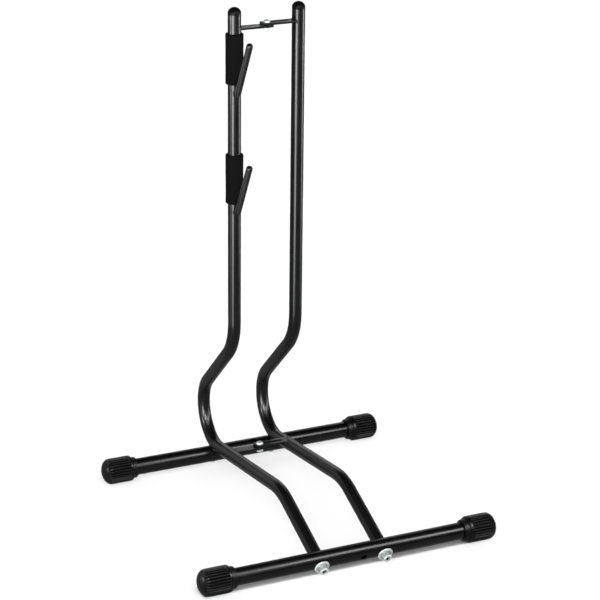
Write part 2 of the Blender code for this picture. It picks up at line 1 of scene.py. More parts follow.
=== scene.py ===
"""The finished look of a floor bike stand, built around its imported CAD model.

Two black cross bars with ribbed rubber ends carry two bent grey side tubes. The left upright
has two foam sleeves and two wheel hooks, and two pairs of bolted straps tie the sides together.

Lengths are in metres, in the frame of the CAD model: +Z is up, +Y points from the front bar to
the rear bar, +X is to the right of someone who looks that way, and the floor is at Z 0.
"""

import logging
import math
from dataclasses import dataclass
from enum import Enum
from typing import Any, Dict, List, Optional, Sequence, Tuple, Union

import bmesh
import bpy
from mathutils import Matrix, Vector


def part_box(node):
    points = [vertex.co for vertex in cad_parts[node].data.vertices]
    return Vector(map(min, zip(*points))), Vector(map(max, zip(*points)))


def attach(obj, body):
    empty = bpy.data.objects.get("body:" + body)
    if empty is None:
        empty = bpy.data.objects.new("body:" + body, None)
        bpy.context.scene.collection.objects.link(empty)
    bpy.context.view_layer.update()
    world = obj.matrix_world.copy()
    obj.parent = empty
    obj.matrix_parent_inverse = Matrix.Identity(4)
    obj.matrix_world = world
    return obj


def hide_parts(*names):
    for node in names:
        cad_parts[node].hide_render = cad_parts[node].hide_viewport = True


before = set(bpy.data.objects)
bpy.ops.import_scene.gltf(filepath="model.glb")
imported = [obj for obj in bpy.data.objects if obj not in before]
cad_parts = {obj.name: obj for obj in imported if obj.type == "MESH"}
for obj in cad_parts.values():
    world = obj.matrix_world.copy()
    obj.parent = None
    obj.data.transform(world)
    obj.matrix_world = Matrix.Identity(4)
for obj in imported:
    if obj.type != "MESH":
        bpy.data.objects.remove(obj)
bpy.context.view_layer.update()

LOG = logging.getLogger("bike_stand")
MM = 0.001
# The air between two neighbouring solids of the CAD model.
GAP = 0.3 * MM

Number = Union[int, float]
Pair = Tuple[float, float]
Triple = Tuple[float, float, float]
Colour = Triple


class Slot(Enum):
    """The material slots."""

    BAR_PAINT = "bar_paint"
    FRAME_PAINT = "frame_paint"
    CAP_RUBBER = "cap_rubber"
    PLUG_PLASTIC = "plug_plastic"
    SLEEVE_FOAM = "sleeve_foam"
    ZINC = "zinc_plate"


class Side(Enum):
    """The two sides of the stand, with the sign of their X."""

    LEFT = -1
    RIGHT = 1

    @property
    def word(self) -> str:
        """Return the side's name as the CAD nodes write it."""
        return self.name.lower()


class Cut(Enum):
    """What a tool mesh does to the mesh it meets."""

    AWAY = "DIFFERENCE"
    KEEP = "INTERSECT"


class Signal:
    """A node's output that can stand in sums and products; each operator adds a Math node."""

    def __init__(self, tree: bpy.types.NodeTree, socket: bpy.types.NodeSocket) -> None:
        """Wrap one output socket of a tree."""
        self.tree = tree
        self.socket = socket

    def maths(self, operation: str, *operands: Union["Signal", Number]) -> "Signal":
        """Add a Math node.

        Args:
            operation: The node's operation.
            operands: What its inputs take, in order.

        Returns:
            The node's result.
        """
        node = self.tree.nodes.new("ShaderNodeMath")
        node.operation = operation
        for socket, operand in zip(node.inputs, operands):
            if isinstance(operand, Signal):
                self.tree.links.new(operand.socket, socket)
            else:
                socket.default_value = operand
        return Signal(self.tree, node.outputs[0])

    def __add__(self, other: Union["Signal", Number]) -> "Signal":
        """Return self + other."""
        return self.maths("ADD", self, other)

    def __radd__(self, other: Number) -> "Signal":
        """Return other + self."""
        return self.maths("ADD", other, self)

    def __sub__(self, other: Union["Signal", Number]) -> "Signal":
        """Return self - other."""
        return self.maths("SUBTRACT", self, other)

    def __rsub__(self, other: Number) -> "Signal":
        """Return other - self."""
        return self.maths("SUBTRACT", other, self)

    def __mul__(self, other: Union["Signal", Number]) -> "Signal":
        """Return self * other."""
        return self.maths("MULTIPLY", self, other)

    def __rmul__(self, other: Number) -> "Signal":
        """Return other * self."""
        return self.maths("MULTIPLY", other, self)

    def __truediv__(self, other: Union["Signal", Number]) -> "Signal":
        """Return self / other."""
        return self.maths("DIVIDE", self, other)

    def __rtruediv__(self, other: Number) -> "Signal":
        """Return other / self."""
        return self.maths("DIVIDE", other, self)

    def root(self) -> "Signal":
        """Return the square root."""
        return self.maths("SQRT", self)

    def size(self) -> "Signal":
        """Return the absolute value."""
        return self.maths("ABSOLUTE", self)

    def wave(self) -> "Signal":
        """Return the sine."""
        return self.maths("SINE", self)

    def fraction(self) -> "Signal":
        """Return what is left of the number after its whole part."""
        return self.maths("FRACT", self)

    def at_least(self, other: Union["Signal", Number]) -> "Signal":
        """Return the larger of self and other."""
        return self.maths("MAXIMUM", self, other)

    def at_most(self, other: Union["Signal", Number]) -> "Signal":
        """Return the smaller of self and other."""
        return self.maths("MINIMUM", self, other)


class Bench:
    """Adds nodes to one shader tree or geometry tree."""

    def __init__(self, tree: bpy.types.NodeTree) -> None:
        """Work on a tree."""
        self.tree = tree

    def node(self, kind: str, settings: Optional[Dict[str, Any]] = None,
             sockets: Optional[Dict[Union[str, int], Any]] = None) -> bpy.types.Node:
        """Add a node of any kind.

        Args:
            kind: The node's type.
            settings: Its properties, which are set first.
            sockets: Values, signals or output sockets for its inputs, by name or index.

        Returns:
            The node.
        """
        made = self.tree.nodes.new(kind)
        for name, value in (settings or {}).items():
            setattr(made, name, value)
        for key, value in (sockets or {}).items():
            self.plug(made.inputs[key], value)
        return made

    def plug(self, socket: bpy.types.NodeSocket, value: Any) -> None:
        """Give an input its value or its link.

        Args:
            socket: The input.
            value: A plain value, a signal or another node's output.
        """
        if isinstance(value, Signal):
            self.tree.links.new(value.socket, socket)
        elif isinstance(value, bpy.types.NodeSocket):
            self.tree.links.new(value, socket)
        else:
            socket.default_value = value

    def split(self, vector: bpy.types.NodeSocket) -> Tuple[Signal, Signal, Signal]:
        """Return the X, Y and Z of a vector."""
        parts = self.node("ShaderNodeSeparateXYZ", sockets={0: vector})
        return tuple(Signal(self.tree, socket) for socket in parts.outputs)

    def signal(self, kind: str, settings: Optional[Dict[str, Any]] = None,
               sockets: Optional[Dict[Union[str, int], Any]] = None,
               output: Union[str, int] = 0) -> Signal:
        """Add a node and return one of its outputs as a signal."""
        return Signal(self.tree, self.node(kind, settings, sockets).outputs[output])


class MaterialBench(Bench):
    """Builds one Principled material from noises in the piece's own coordinates."""

    def __init__(self, name: str) -> None:
        """Start a material with its shader.

        Args:
            name: The material's name.
        """
        self.material = bpy.data.materials.new(name)
        self.material.use_nodes = True
        super().__init__(self.material.node_tree)
        self.shader = self.tree.nodes["Principled BSDF"]
        self.place = self.node("ShaderNodeTexCoord").outputs["Object"]

    def noise(self, per_metre: float, detail: float = 2.0, stretch: Optional[Triple] = None,
              roughness: float = 0.5) -> Signal:
        """Add a noise.

        Args:
            per_metre: How many grains lie on a metre.
            detail: How many finer layers it has.
            stretch: What each axis is multiplied with, for a grain that is longer one way.
            roughness: How strong the finer layers are.

        Returns:
            The noise, around 0.5.
        """
        place = self.place
        if stretch is not None:
            place = self.node("ShaderNodeMapping", sockets={"Vector": place,
                                                            "Scale": stretch}).outputs[0]
        return self.signal("ShaderNodeTexNoise",
                           sockets={"Vector": place, "Scale": per_metre, "Detail": detail,
                                    "Roughness": roughness}, output="Fac")

    def cells(self, per_metre: float) -> Signal:
        """Add the distance to the nearest point of a random field."""
        return self.signal("ShaderNodeTexVoronoi",
                           sockets={"Vector": self.place, "Scale": per_metre}, output="Distance")

    def level(self, value: Signal, low: float, high: float) -> Signal:
        """Stretch the part of a signal between two values to 0 to 1."""
        return self.signal("ShaderNodeMapRange", {"clamp": True},
                           {"Value": value, "From Min": low, "From Max": high})

    def blend(self, share: Signal, first: Union[Colour, bpy.types.NodeSocket],
              second: Colour) -> bpy.types.NodeSocket:
        """Mix two colours.

        Args:
            share: The second colour's share, from 0 to 1.
            first: A colour, or another node's colour.
            second: A colour.

        Returns:
            The mixed colour.
        """
        start = (*first, 1.0) if isinstance(first, tuple) else first
        return self.node("ShaderNodeMix", {"data_type": "RGBA"},
                         {0: share, 6: start, 7: (*second, 1.0)}).outputs[2]

    def coat(self, colour: bpy.types.NodeSocket, roughness: Signal) -> None:
        """Lead a colour and a roughness to the shader."""
        self.plug(self.shader.inputs["Base Color"], colour)
        self.plug(self.shader.inputs["Roughness"], roughness)

    def relief(self, height: Signal, depth: float) -> None:
        """Raise the surface.

        Args:
            height: The height, as a share of the depth.
            depth: What a height of 1 is worth.
        """
        bump = self.node("ShaderNodeBump", sockets={"Height": height, "Strength": 1.0,
                                                    "Distance": depth})
        self.plug(self.shader.inputs["Normal"], bump.outputs[0])

    def fix(self, **values: float) -> None:
        """Set plain values on the shader, with underscores for spaces in the names."""
        for name, value in values.items():
            self.shader.inputs[name.replace("_", " ")].default_value = value


@dataclass(frozen=True)
class PowderCoat:
    """Sprayed and baked paint with a fine orange peel, a little dust and uneven gloss.

    Fields that end in per_metre, here and in the other finishes, are scales of patterns.
    """

    name: str
    slot: Slot
    colour: Colour
    drifted: Colour
    roughness: float
    shine: float = 0.375
    peel: float = 0.005 * MM
    drifts_per_metre: float = 34
    grains_per_metre: float = 3600
    ripples_per_metre: float = 620
    specks_per_metre: float = 1500

    def material(self) -> bpy.types.Material:
        """Build the paint.

        Returns:
            The material.
        """
        bench = MaterialBench(self.name)
        drift = bench.level(bench.noise(self.drifts_per_metre, 3), 0.32, 0.68)
        grain = bench.noise(self.grains_per_metre, 2)
        peel = bench.noise(self.ripples_per_metre, 3, roughness=0.55)
        dust = bench.level(bench.noise(self.specks_per_metre, 4, roughness=0.8), 0.68, 0.80)
        shade = (drift * 0.7 + grain * 0.3).at_most(1.0)
        bench.coat(bench.blend(shade, self.colour, self.drifted),
                   self.roughness + (drift - 0.5) * 0.05 + (grain - 0.5) * 0.08 + dust * 0.15)
        bench.relief(peel * 0.8 + grain * 0.2 + dust * 0.3, self.peel)
        bench.fix(Specular_IOR_Level=self.shine)
        return bench.material


@dataclass(frozen=True)
class MouldedRubber:
    """Black rubber with a fine spark-eroded grain, paler rubbed patches and duller flutes."""

    name: str
    slot: Slot
    colour: Colour
    rubbed: Colour
    roughness: float
    shine: float
    texture: float = 0.03 * MM
    patches_per_metre: float = 90
    grains_per_metre: float = 2600
    pits_per_metre: float = 1700

    def material(self, axis: Pair, rim: float) -> bpy.types.Material:
        """Build the rubber.

        Args:
            axis: (y, z) of the axis of the piece, which lies along X.
            rim: The radius of the piece's outside; what lies deeper is duller.

        Returns:
            The material.
        """
        bench = MaterialBench(self.name)
        _, depth, height = bench.split(bench.place)
        depth, height = depth - axis[0], height - axis[1]
        reach = (depth * depth + height * height).root()
        flute = bench.level(rim - reach, 0.35 * MM, 0.9 * MM)
        patches = bench.level(bench.noise(self.patches_per_metre, 4, roughness=0.6), 0.45, 0.75)
        grain = bench.noise(self.grains_per_metre, 3, roughness=0.65)
        pits = bench.level(bench.cells(self.pits_per_metre), 0.0, 0.55)
        shade = (patches * 0.6 + grain * 0.4).at_most(1.0)
        bench.coat(bench.blend(shade, self.colour, self.rubbed),
                   self.roughness + (grain - 0.5) * 0.22 - patches * 0.06 + flute * 0.15)
        bench.relief(grain * 0.7 + pits * 0.3, self.texture)
        bench.fix(Specular_IOR_Level=self.shine)
        return bench.material


@dataclass(frozen=True)
class ClosedCellFoam:
    """Matt black foam whose skin shows small open cells and long soft waves."""

    name: str
    slot: Slot
    colour: Colour
    cell_wall: Colour
    shine: float
    roughness: float = 0.84
    texture: float = 0.09 * MM
    cells_per_metre: float = 1150
    grains_per_metre: float = 3800
    waves_per_metre: float = 140

    def material(self) -> bpy.types.Material:
        """Build the foam.

        Returns:
            The material.
        """
        bench = MaterialBench(self.name)
        cells = bench.level(bench.cells(self.cells_per_metre), 0.05, 0.62)
        fine = bench.noise(self.grains_per_metre, 3, roughness=0.7)
        soft = bench.noise(self.waves_per_metre, 3)
        shade = (cells * 0.45 + fine * 0.35 + soft * 0.2).at_most(1.0)
        bench.coat(bench.blend(shade, self.colour, self.cell_wall),
                   self.roughness + (fine - 0.5) * 0.2)
        bench.relief(cells * 0.55 + fine * 0.35 + soft * 0.6, self.texture)
        bench.fix(Specular_IOR_Level=self.shine)
        return bench.material


@dataclass(frozen=True)
class MouldedPlastic:
    """Shiny black plastic with faint flow marks."""

    name: str
    slot: Slot
    colour: Colour
    roughness: float
    shine: float
    texture: float = 0.012 * MM
    flows_per_metre: float = 160
    grains_per_metre: float = 2400

    def material(self) -> bpy.types.Material:
        """Build the plastic.

        Returns:
            The material.
        """
        bench = MaterialBench(self.name)
        flow = bench.noise(self.flows_per_metre, 3, (1.0, 1.0, 0.3))
        grain = bench.noise(self.grains_per_metre, 2)
        paler = (self.colour[0] * 1.8, self.colour[1] * 1.8, self.colour[2] * 1.9)
        bench.coat(bench.blend(flow, self.colour, paler),
                   self.roughness + (flow - 0.5) * 0.08 + (grain - 0.5) * 0.06)
        bench.relief(flow * 0.6 + grain * 0.4, self.texture)
        bench.fix(Specular_IOR_Level=self.shine)
        return bench.material


@dataclass(frozen=True)
class PaintedShadeZones:
    """Where shade is painted on a fastener, in radii and heights on its own axis."""

    hollow: float = 0.0
    face: float = 0.0
    neck: Pair = (0.0, 0.0)
    rise: Pair = (0.0, 0.0)


@dataclass(frozen=True)
class ZincPlate:
    """Bright zinc plate over turned steel, with rings round the fastener's own axis and painted
    shade in its hollows.
    """

    name: str
    slot: Slot
    colour: Colour
    clouded: Colour
    painted_shade_colour: Colour
    roughness: float
    metallic: float
    ring_pitch: float = 0.22 * MM
    texture: float = 0.006 * MM
    wobbles_per_metre: float = 300
    clouds_per_metre: float = 260
    grains_per_metre: float = 3000

    def material(self, centre: Vector, tilt: float,
                 dark: PaintedShadeZones = PaintedShadeZones()) -> bpy.types.Material:
        """Build the plate for one fastener.

        Args:
            centre: A point on the fastener's axis.
            tilt: How far the axis leans from +Z, turned about +X.
            dark: Where shade is painted: the radius of its hollow and the height of the face
                around that, which bound the shaded recess, and the radii (neck) and
                heights (rise) of the shaded crevice round the foot of the head.

        Returns:
            The material.
        """
        bench = MaterialBench(self.name)
        shifted = bench.node("ShaderNodeVectorMath", {"operation": "SUBTRACT"},
                             {0: bench.place, 1: centre}).outputs[0]
        turned = bench.node("ShaderNodeVectorRotate", {"rotation_type": "X_AXIS"},
                            {"Vector": shifted, "Angle": -tilt}).outputs[0]
        across, along, height = bench.split(turned)
        radius = (across * across + along * along).root()
        wobble = bench.noise(self.wobbles_per_metre, 2) * 5.0
        rings = (radius * (2 * math.pi / self.ring_pitch) + wobble).wave()
        cloud = bench.level(bench.noise(self.clouds_per_metre, 4, roughness=0.6), 0.35, 0.70)
        grain = bench.noise(self.grains_per_metre, 2)
        # Painted shade: the hex recess below the face is darkened.
        hollow = (radius.maths("LESS_THAN", radius, dark.hollow)
                  * height.maths("LESS_THAN", height, dark.face - 0.3 * MM))
        # Painted shade in the crevice round the head, fading over a fraction of a millimetre on
        # each side of its zone.
        inner, outer = dark.neck
        low, high = dark.rise
        crevice_shade = (bench.level(radius, inner - 0.3 * MM, inner)
               * bench.level(outer + 0.9 * MM - radius, 0.0, 0.9 * MM)
               * bench.level(height, low - 0.4 * MM, low - 0.2 * MM)
               * bench.level(high - height, 0.0, 0.5 * MM) * (0.50 + cloud * 0.3))
        plate = bench.blend(cloud, self.colour, self.clouded)
        # Both painted shades pull the plate towards the shade colour.
        for shadow in (crevice_shade, hollow):
            plate = bench.blend(shadow, plate, self.painted_shade_colour)
        bench.coat(plate, self.roughness + cloud * 0.08 + (grain - 0.5) * 0.10)
        bench.relief(rings * 0.5 + grain * 0.5, self.texture)
        bench.fix(Metallic=self.metallic)
        return bench.material


@dataclass(frozen=True)
class PaleFloor:
    """A plain pale studio floor with a barely uneven surface."""

    name: str
    colour: Colour
    shaded: Colour
    roughness: float = 0.82
    shine: float = 0.2
    texture: float = 0.01 * MM
    drifts_per_metre: float = 3
    grains_per_metre: float = 900

    def material(self) -> bpy.types.Material:
        """Build the floor.

        Returns:
            The material.
        """
        bench = MaterialBench(self.name)
        drift = bench.noise(self.drifts_per_metre, 3)
        grain = bench.noise(self.grains_per_metre, 2)
        bench.coat(bench.blend(drift, self.colour, self.shaded),
                   self.roughness + (grain - 0.5) * 0.1)
        bench.relief(grain, self.texture)
        bench.fix(Specular_IOR_Level=self.shine)
        return bench.material


# The painted shade in a hexagon hollow reaches out to this share of its width across flats.
HOLLOW_SHADE_REACH = 0.55
BLACK_COAT = PowderCoat("black_powder_coat", Slot.BAR_PAINT, (0.0008, 0.0008, 0.0008),
                        (0.0014, 0.0014, 0.0014), 0.25)
GREY_COAT = PowderCoat("dark_grey_powder_coat", Slot.FRAME_PAINT, (0.0014, 0.0014, 0.0014),
                       (0.0024, 0.0024, 0.0025), 0.25)
RUBBER = MouldedRubber("ribbed_rubber", Slot.CAP_RUBBER, (0.0006, 0.0006, 0.0006),
                       (0.0014, 0.0014, 0.0015), 0.27, 0.30)
FOAM = ClosedCellFoam("sleeve_foam_skin", Slot.SLEEVE_FOAM, (0.0006, 0.0006, 0.0006),
                      (0.0024, 0.0024, 0.0024), 0.04)
PLASTIC = MouldedPlastic("plug_plastic_gloss", Slot.PLUG_PLASTIC, (0.0010, 0.0010, 0.0010),
                         0.38, 0.08)
# The zinc's third colour is the painted shade of its recesses and crevices.
ZINC = ZincPlate("bright_zinc", Slot.ZINC, (0.61, 0.655, 0.64), (0.48, 0.525, 0.51),
                 (0.05, 0.055, 0.055), 0.30, 0.62)
FLOOR = PaleFloor("pale_floor", (0.93, 0.93, 0.93), (0.915, 0.915, 0.915))


class GeometryTree(Bench):
    """A Geometry Nodes tree whose sizes are named inputs and which ends in plain geometry."""

    KINDS = {int: "NodeSocketInt", float: "NodeSocketFloat"}

    def __init__(self, name: str, **sizes: Number) -> None:
        """Start a tree.

        Args:
            name: The tree's name.
            sizes: The named inputs with their usual values.
        """
        group = bpy.data.node_groups.new(name, "GeometryNodeTree")
        super().__init__(group)
        sockets = group.interface
        sockets.new_socket("Geometry", in_out="INPUT", socket_type="NodeSocketGeometry")
        self.identifiers: Dict[str, str] = {}
        for label, value in sizes.items():
            item = sockets.new_socket(label, in_out="INPUT", socket_type=self.KINDS[type(value)])
            item.default_value = value
            self.identifiers[label] = item.identifier
        finish = sockets.new_socket("finish", in_out="INPUT", socket_type="NodeSocketMaterial")
        self.identifiers["finish"] = finish.identifier
        sockets.new_socket("Geometry", in_out="OUTPUT", socket_type="NodeSocketGeometry")
        self.entry = self.node("NodeGroupInput")

    def size(self, label: str) -> Signal:
        """Return a named input as a signal."""
        return Signal(self.tree, self.entry.outputs[label])

    def close(self, geometry: bpy.types.NodeSocket) -> None:
        """End the tree with real geometry, smooth faces and the finish.

        Args:
            geometry: What the tree has made.
        """
        real = self.node("GeometryNodeRealizeInstances", sockets={0: geometry})
        smooth = self.node("GeometryNodeSetShadeSmooth", sockets={0: real.outputs[0]})
        dressed = self.node("GeometryNodeSetMaterial",
                            sockets={0: smooth.outputs[0],
                                     "Material": self.entry.outputs["finish"]})
        self.node("NodeGroupOutput", sockets={0: dressed.outputs[0]})

    def grow(self, mesh: bpy.types.Mesh, material: bpy.types.Material,
             **sizes: Number) -> bpy.types.Mesh:
        """Run the tree on a mesh.

        Args:
            mesh: What the tree starts from.
            material: The finish that it sets.
            sizes: Values for its named inputs.

        Returns:
            The plain mesh that comes out.
        """
        host = bpy.data.objects.new(self.tree.name, mesh)
        modifier = host.modifiers.new(self.tree.name, "NODES")
        modifier.node_group = self.tree
        modifier[self.identifiers["finish"]] = material
        for label, value in sizes.items():
            modifier[self.identifiers[label]] = value
        bpy.context.scene.collection.objects.link(host)
        graph = bpy.context.evaluated_depsgraph_get()
        grown = bpy.data.meshes.new_from_object(host.evaluated_get(graph))
        host.modifiers.remove(modifier)
        bpy.data.objects.remove(host, do_unlink=True)
        return grown


class FluteTree(GeometryTree):
    """Presses straight flutes, with round ribs between them, into a turned piece on Z."""

    def __init__(self) -> None:
        """Build the tree."""
        super().__init__("flutes", count=28, radius=19.5 * MM, half_width=1.0 * MM,
                         depth=1.0 * MM, start=0.0, end=1.0, fade=1.0 * MM)
        place = self.node("GeometryNodeInputPosition")
        x, y, z = self.split(place.outputs[0])
        reach = (x * x + y * y).root()
        turns = y.maths("ARCTAN2", y, x) / (2 * math.pi) * self.size("count")
        pitch = 2 * math.pi * self.size("radius") / self.size("count")
        away = (turns.fraction() - 0.5).size() * pitch / self.size("half_width")
        rise = (1.0 - away * away).at_least(0.0)
        bowl = rise * rise
        start_fade = ((z - self.size("start")) / self.size("fade")).at_least(0.0).at_most(1.0)
        end_fade = ((self.size("end") - z) / self.size("fade")).at_least(0.0).at_most(1.0)
        floor = self.size("radius") - self.size("depth") * bowl * start_fade * end_fade
        share = reach.at_most(floor) / reach.at_least(1e-6)
        moved = self.node("ShaderNodeCombineXYZ", sockets={0: x * share, 1: y * share, 2: z})
        pressed = self.node("GeometryNodeSetPosition",
                            sockets={0: self.entry.outputs["Geometry"],
                                     "Position": moved.outputs[0]})
        self.close(pressed.outputs[0])


class SweepTree(GeometryTree):
    """Sweeps a circle along a polyline."""

    def __init__(self) -> None:
        """Build the tree."""
        super().__init__("sweep", radius=9.5 * MM, sides=48)
        line = self.node("GeometryNodeMeshToCurve", sockets={0: self.entry.outputs["Geometry"]})
        circle = self.node("GeometryNodeCurvePrimitiveCircle", {"mode": "RADIUS"},
                           {"Resolution": self.size("sides"), "Radius": self.size("radius")})
        skin = self.node("GeometryNodeCurveToMesh",
                         sockets={"Curve": line.outputs[0], "Profile Curve": circle.outputs[0]})
        self.close(skin.outputs[0])


class WeldTree(GeometryTree):
    """Strings overlapping drops along a polyline, as a hand-held torch leaves them."""

    def __init__(self) -> None:
        """Build the tree."""
        super().__init__("weld_drops", radius=1.4 * MM, spacing=1.1 * MM, uneven=0.18, seed=7)
        line = self.node("GeometryNodeMeshToCurve", sockets={0: self.entry.outputs["Geometry"]})
        points = self.node("GeometryNodeCurveToPoints", {"mode": "LENGTH"},
                           {0: line.outputs[0], "Length": self.size("spacing")})
        drop = self.node("GeometryNodeMeshIcoSphere",
                         sockets={"Radius": self.size("radius"), "Subdivisions": 3})
        uneven = self.size("uneven")
        scale = self.node("FunctionNodeRandomValue", {"data_type": "FLOAT"},
                          {2: 1.0 - uneven, 3: 1.0 + uneven, "Seed": self.size("seed")})
        strung = self.node("GeometryNodeInstanceOnPoints",
                           sockets={"Points": points.outputs[0], "Instance": drop.outputs[0],
                                    "Scale": scale.outputs[1]})
        self.close(strung.outputs[0])


class Blank:
    """A mesh under work, to which walls, cuts and bevels are applied one after another."""

    def __init__(self, mesh: bpy.types.Mesh) -> None:
        """Start from a mesh."""
        self.mesh = mesh

    def apply(self, kind: str, **settings: Any) -> "Blank":
        """Apply one modifier.

        Args:
            kind: The modifier's type.
            settings: Its properties.

        Returns:
            The same blank.
        """
        host = bpy.data.objects.new("blank", self.mesh)
        modifier = host.modifiers.new("work", kind)
        for name, value in settings.items():
            setattr(modifier, name, value)
        bpy.context.scene.collection.objects.link(host)
        graph = bpy.context.evaluated_depsgraph_get()
        self.mesh = bpy.data.meshes.new_from_object(host.evaluated_get(graph))
        bpy.data.objects.remove(host, do_unlink=True)
        return self

    def wall(self, thickness: float) -> "Blank":
        """Give an open skin a wall, inwards."""
        return self.apply("SOLIDIFY", thickness=thickness, offset=-1.0)

    def cut(self, tool: bpy.types.Mesh, cut: Cut = Cut.AWAY) -> "Blank":
        """Cut with a tool mesh that is already in place.

        Args:
            tool: The mesh to cut with.
            cut: What happens where the two meet.

        Returns:
            The same blank.
        """
        helper = bpy.data.objects.new("tool", tool)
        bpy.context.scene.collection.objects.link(helper)
        self.apply("BOOLEAN", operation=cut.value, solver="EXACT", object=helper)
        bpy.data.objects.remove(helper, do_unlink=True)
        return self

    def bevel(self, width: float, segments: int) -> "Blank":
        """Round every edge that is sharper than 40 degrees."""
        return self.apply("BEVEL", width=width, segments=segments, limit_method="ANGLE",
                          angle_limit=math.radians(40), harden_normals=False)

    def fused(self, voxel: float) -> "Blank":
        """Melt overlapping closed shells into one skin."""
        self.apply("REMESH", mode="VOXEL", voxel_size=voxel, use_smooth_shade=True)
        return self.apply("SMOOTH", factor=0.5, iterations=3)

    def put(self, place: Matrix) -> "Blank":
        """Move the mesh itself."""
        self.mesh.transform(place)
        return self


def turned(profile: Sequence[Pair], sides: int, ring: bool = False) -> bpy.types.Mesh:
    """Turn an outline about Z.

    Args:
        profile: (radius, height) points; a point on the axis closes the shape there.
        sides: How many steps go round.
        ring: Whether the last point joins the first one.

    Returns:
        The closed mesh, with its faces outwards.
    """
    bm = bmesh.new()
    rows: List[List[bmesh.types.BMVert]] = []
    for radius, height in profile:
        if radius < 1e-7:
            rows.append([bm.verts.new((0.0, 0.0, height))])
            continue
        steps = [2 * math.pi * index / sides for index in range(sides)]
        rows.append([bm.verts.new((radius * math.cos(a), radius * math.sin(a), height))
                     for a in steps])
    pairs = list(zip(rows, rows[1:]))
    if ring:
        pairs.append((rows[-1], rows[0]))
    for low, high in pairs:
        for index in range(sides):
            after = (index + 1) % sides
            corners = [low[index % len(low)], low[after % len(low)], high[after % len(high)],
                       high[index % len(high)]]
            corners = list(dict.fromkeys(corners))
            if len(corners) > 2:
                bm.faces.new(corners)
    bmesh.ops.recalc_face_normals(bm, faces=bm.faces)
    return closed_mesh(bm, "turned")


def closed_mesh(bm: bmesh.types.BMesh, name: str) -> bpy.types.Mesh:
    """Turn a bmesh into a mesh and free it.

    Args:
        bm: The bmesh.
        name: The mesh's name.

    Returns:
        The mesh.
    """
    mesh = bpy.data.meshes.new(name)
    bm.to_mesh(mesh)
    bm.free()
    return mesh


def filleted(corners: Sequence[Triple], steps: int = 5) -> List[Pair]:
    """Round the corners of an outline.

    Args:
        corners: (radius, height, fillet) of each corner; the first and last stay sharp.
        steps: How many chords each fillet has.

    Returns:
        The outline's (radius, height) points.
    """
    points: List[Pair] = []
    for index, (radius, height, fillet) in enumerate(corners):
        if fillet <= 0.0 or index in (0, len(corners) - 1):
            points.append((radius, height))
            continue
        here = Vector((radius, height))
        back = (Vector(corners[index - 1][:2]) - here).normalized()
        on = (Vector(corners[index + 1][:2]) - here).normalized()
        half = back.angle(on) / 2
        start, end = here + back * fillet / math.tan(half), here + on * fillet / math.tan(half)
        centre = here + (back + on).normalized() * fillet / math.sin(half)
        first, last = start - centre, end - centre
        for step in range(steps + 1):
            share = step / steps
            spoke = (first * (1 - share) + last * share).normalized() * fillet
            points.append(tuple(centre + spoke))
    return points


def extruded(outline: Sequence[Pair], low: float, high: float) -> bpy.types.Mesh:
    """Raise a flat outline to a solid.

    Args:
        outline: The (x, y) points of its corners.
        low: The height of its foot.
        high: The height of its top.

    Returns:
        The mesh.
    """
    bm = bmesh.new()
    foot = [bm.verts.new((x, y, low)) for x, y in outline]
    top = [bm.verts.new((x, y, high)) for x, y in outline]
    bm.faces.new(foot)
    bm.faces.new(top)
    for index in range(len(outline)):
        after = (index + 1) % len(outline)
        bm.faces.new((foot[index], foot[after], top[after], top[index]))
    bmesh.ops.recalc_face_normals(bm, faces=bm.faces)
    return closed_mesh(bm, "extruded")


def prism(sides: int, radius: float, low: float, high: float, turn: float = 0.0) -> bpy.types.Mesh:
    """Make a straight prism on Z.

    Args:
        sides: How many sides it has.
        radius: The distance of its corners from the axis.
        low: The height of its foot.
        high: The height of its top.
        turn: How far the first corner is turned from +X.

    Returns:
        The mesh.
    """
    angles = [turn + 2 * math.pi * index / sides for index in range(sides)]
    return extruded([(radius * math.cos(a), radius * math.sin(a)) for a in angles], low, high)


def polyline(points: Sequence[Vector]) -> bpy.types.Mesh:
    """Make a mesh of edges through points.

    Args:
        points: The points, in order.

    Returns:
        The mesh.
    """
    mesh = bpy.data.meshes.new("line")
    mesh.from_pydata([tuple(point) for point in points],
                     [(index, index + 1) for index in range(len(points) - 1)], [])
    return mesh


def standing(place: Vector, tilt: float = 0.0) -> Matrix:
    """Return the move that stands a mesh at a place, its Z leaned about +X by an angle."""
    return Matrix.Translation(place) @ Matrix.Rotation(tilt, 4, "X")


def show(name: str, mesh: bpy.types.Mesh, material: bpy.types.Material, slot: Slot,
         replaced: Sequence[str] = (), crease: float = 32.0) -> bpy.types.Object:
    """Put a finished mesh in the scene as a piece of the stand.

    Args:
        name: The piece's name.
        mesh: Its mesh, already in place.
        material: Its finish.
        slot: The material slot that the finish belongs to; it is only written to the log.
        replaced: The CAD nodes that the piece stands for.
        crease: The angle in degrees above which an edge stays sharp.

    Returns:
        The piece.
    """
    mesh.name = name
    mesh.materials.clear()
    mesh.materials.append(material)
    for face in mesh.polygons:
        face.material_index = 0
    mesh.shade_smooth()
    mesh.set_sharp_from_angle(angle=math.radians(crease))
    piece = bpy.data.objects.new(name, mesh)
    bpy.context.scene.collection.objects.link(piece)
    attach(piece, "root")
    if replaced:
        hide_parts(*replaced)
    LOG.info("%s: %d faces, %s", name, len(mesh.polygons), slot.value)
    return piece


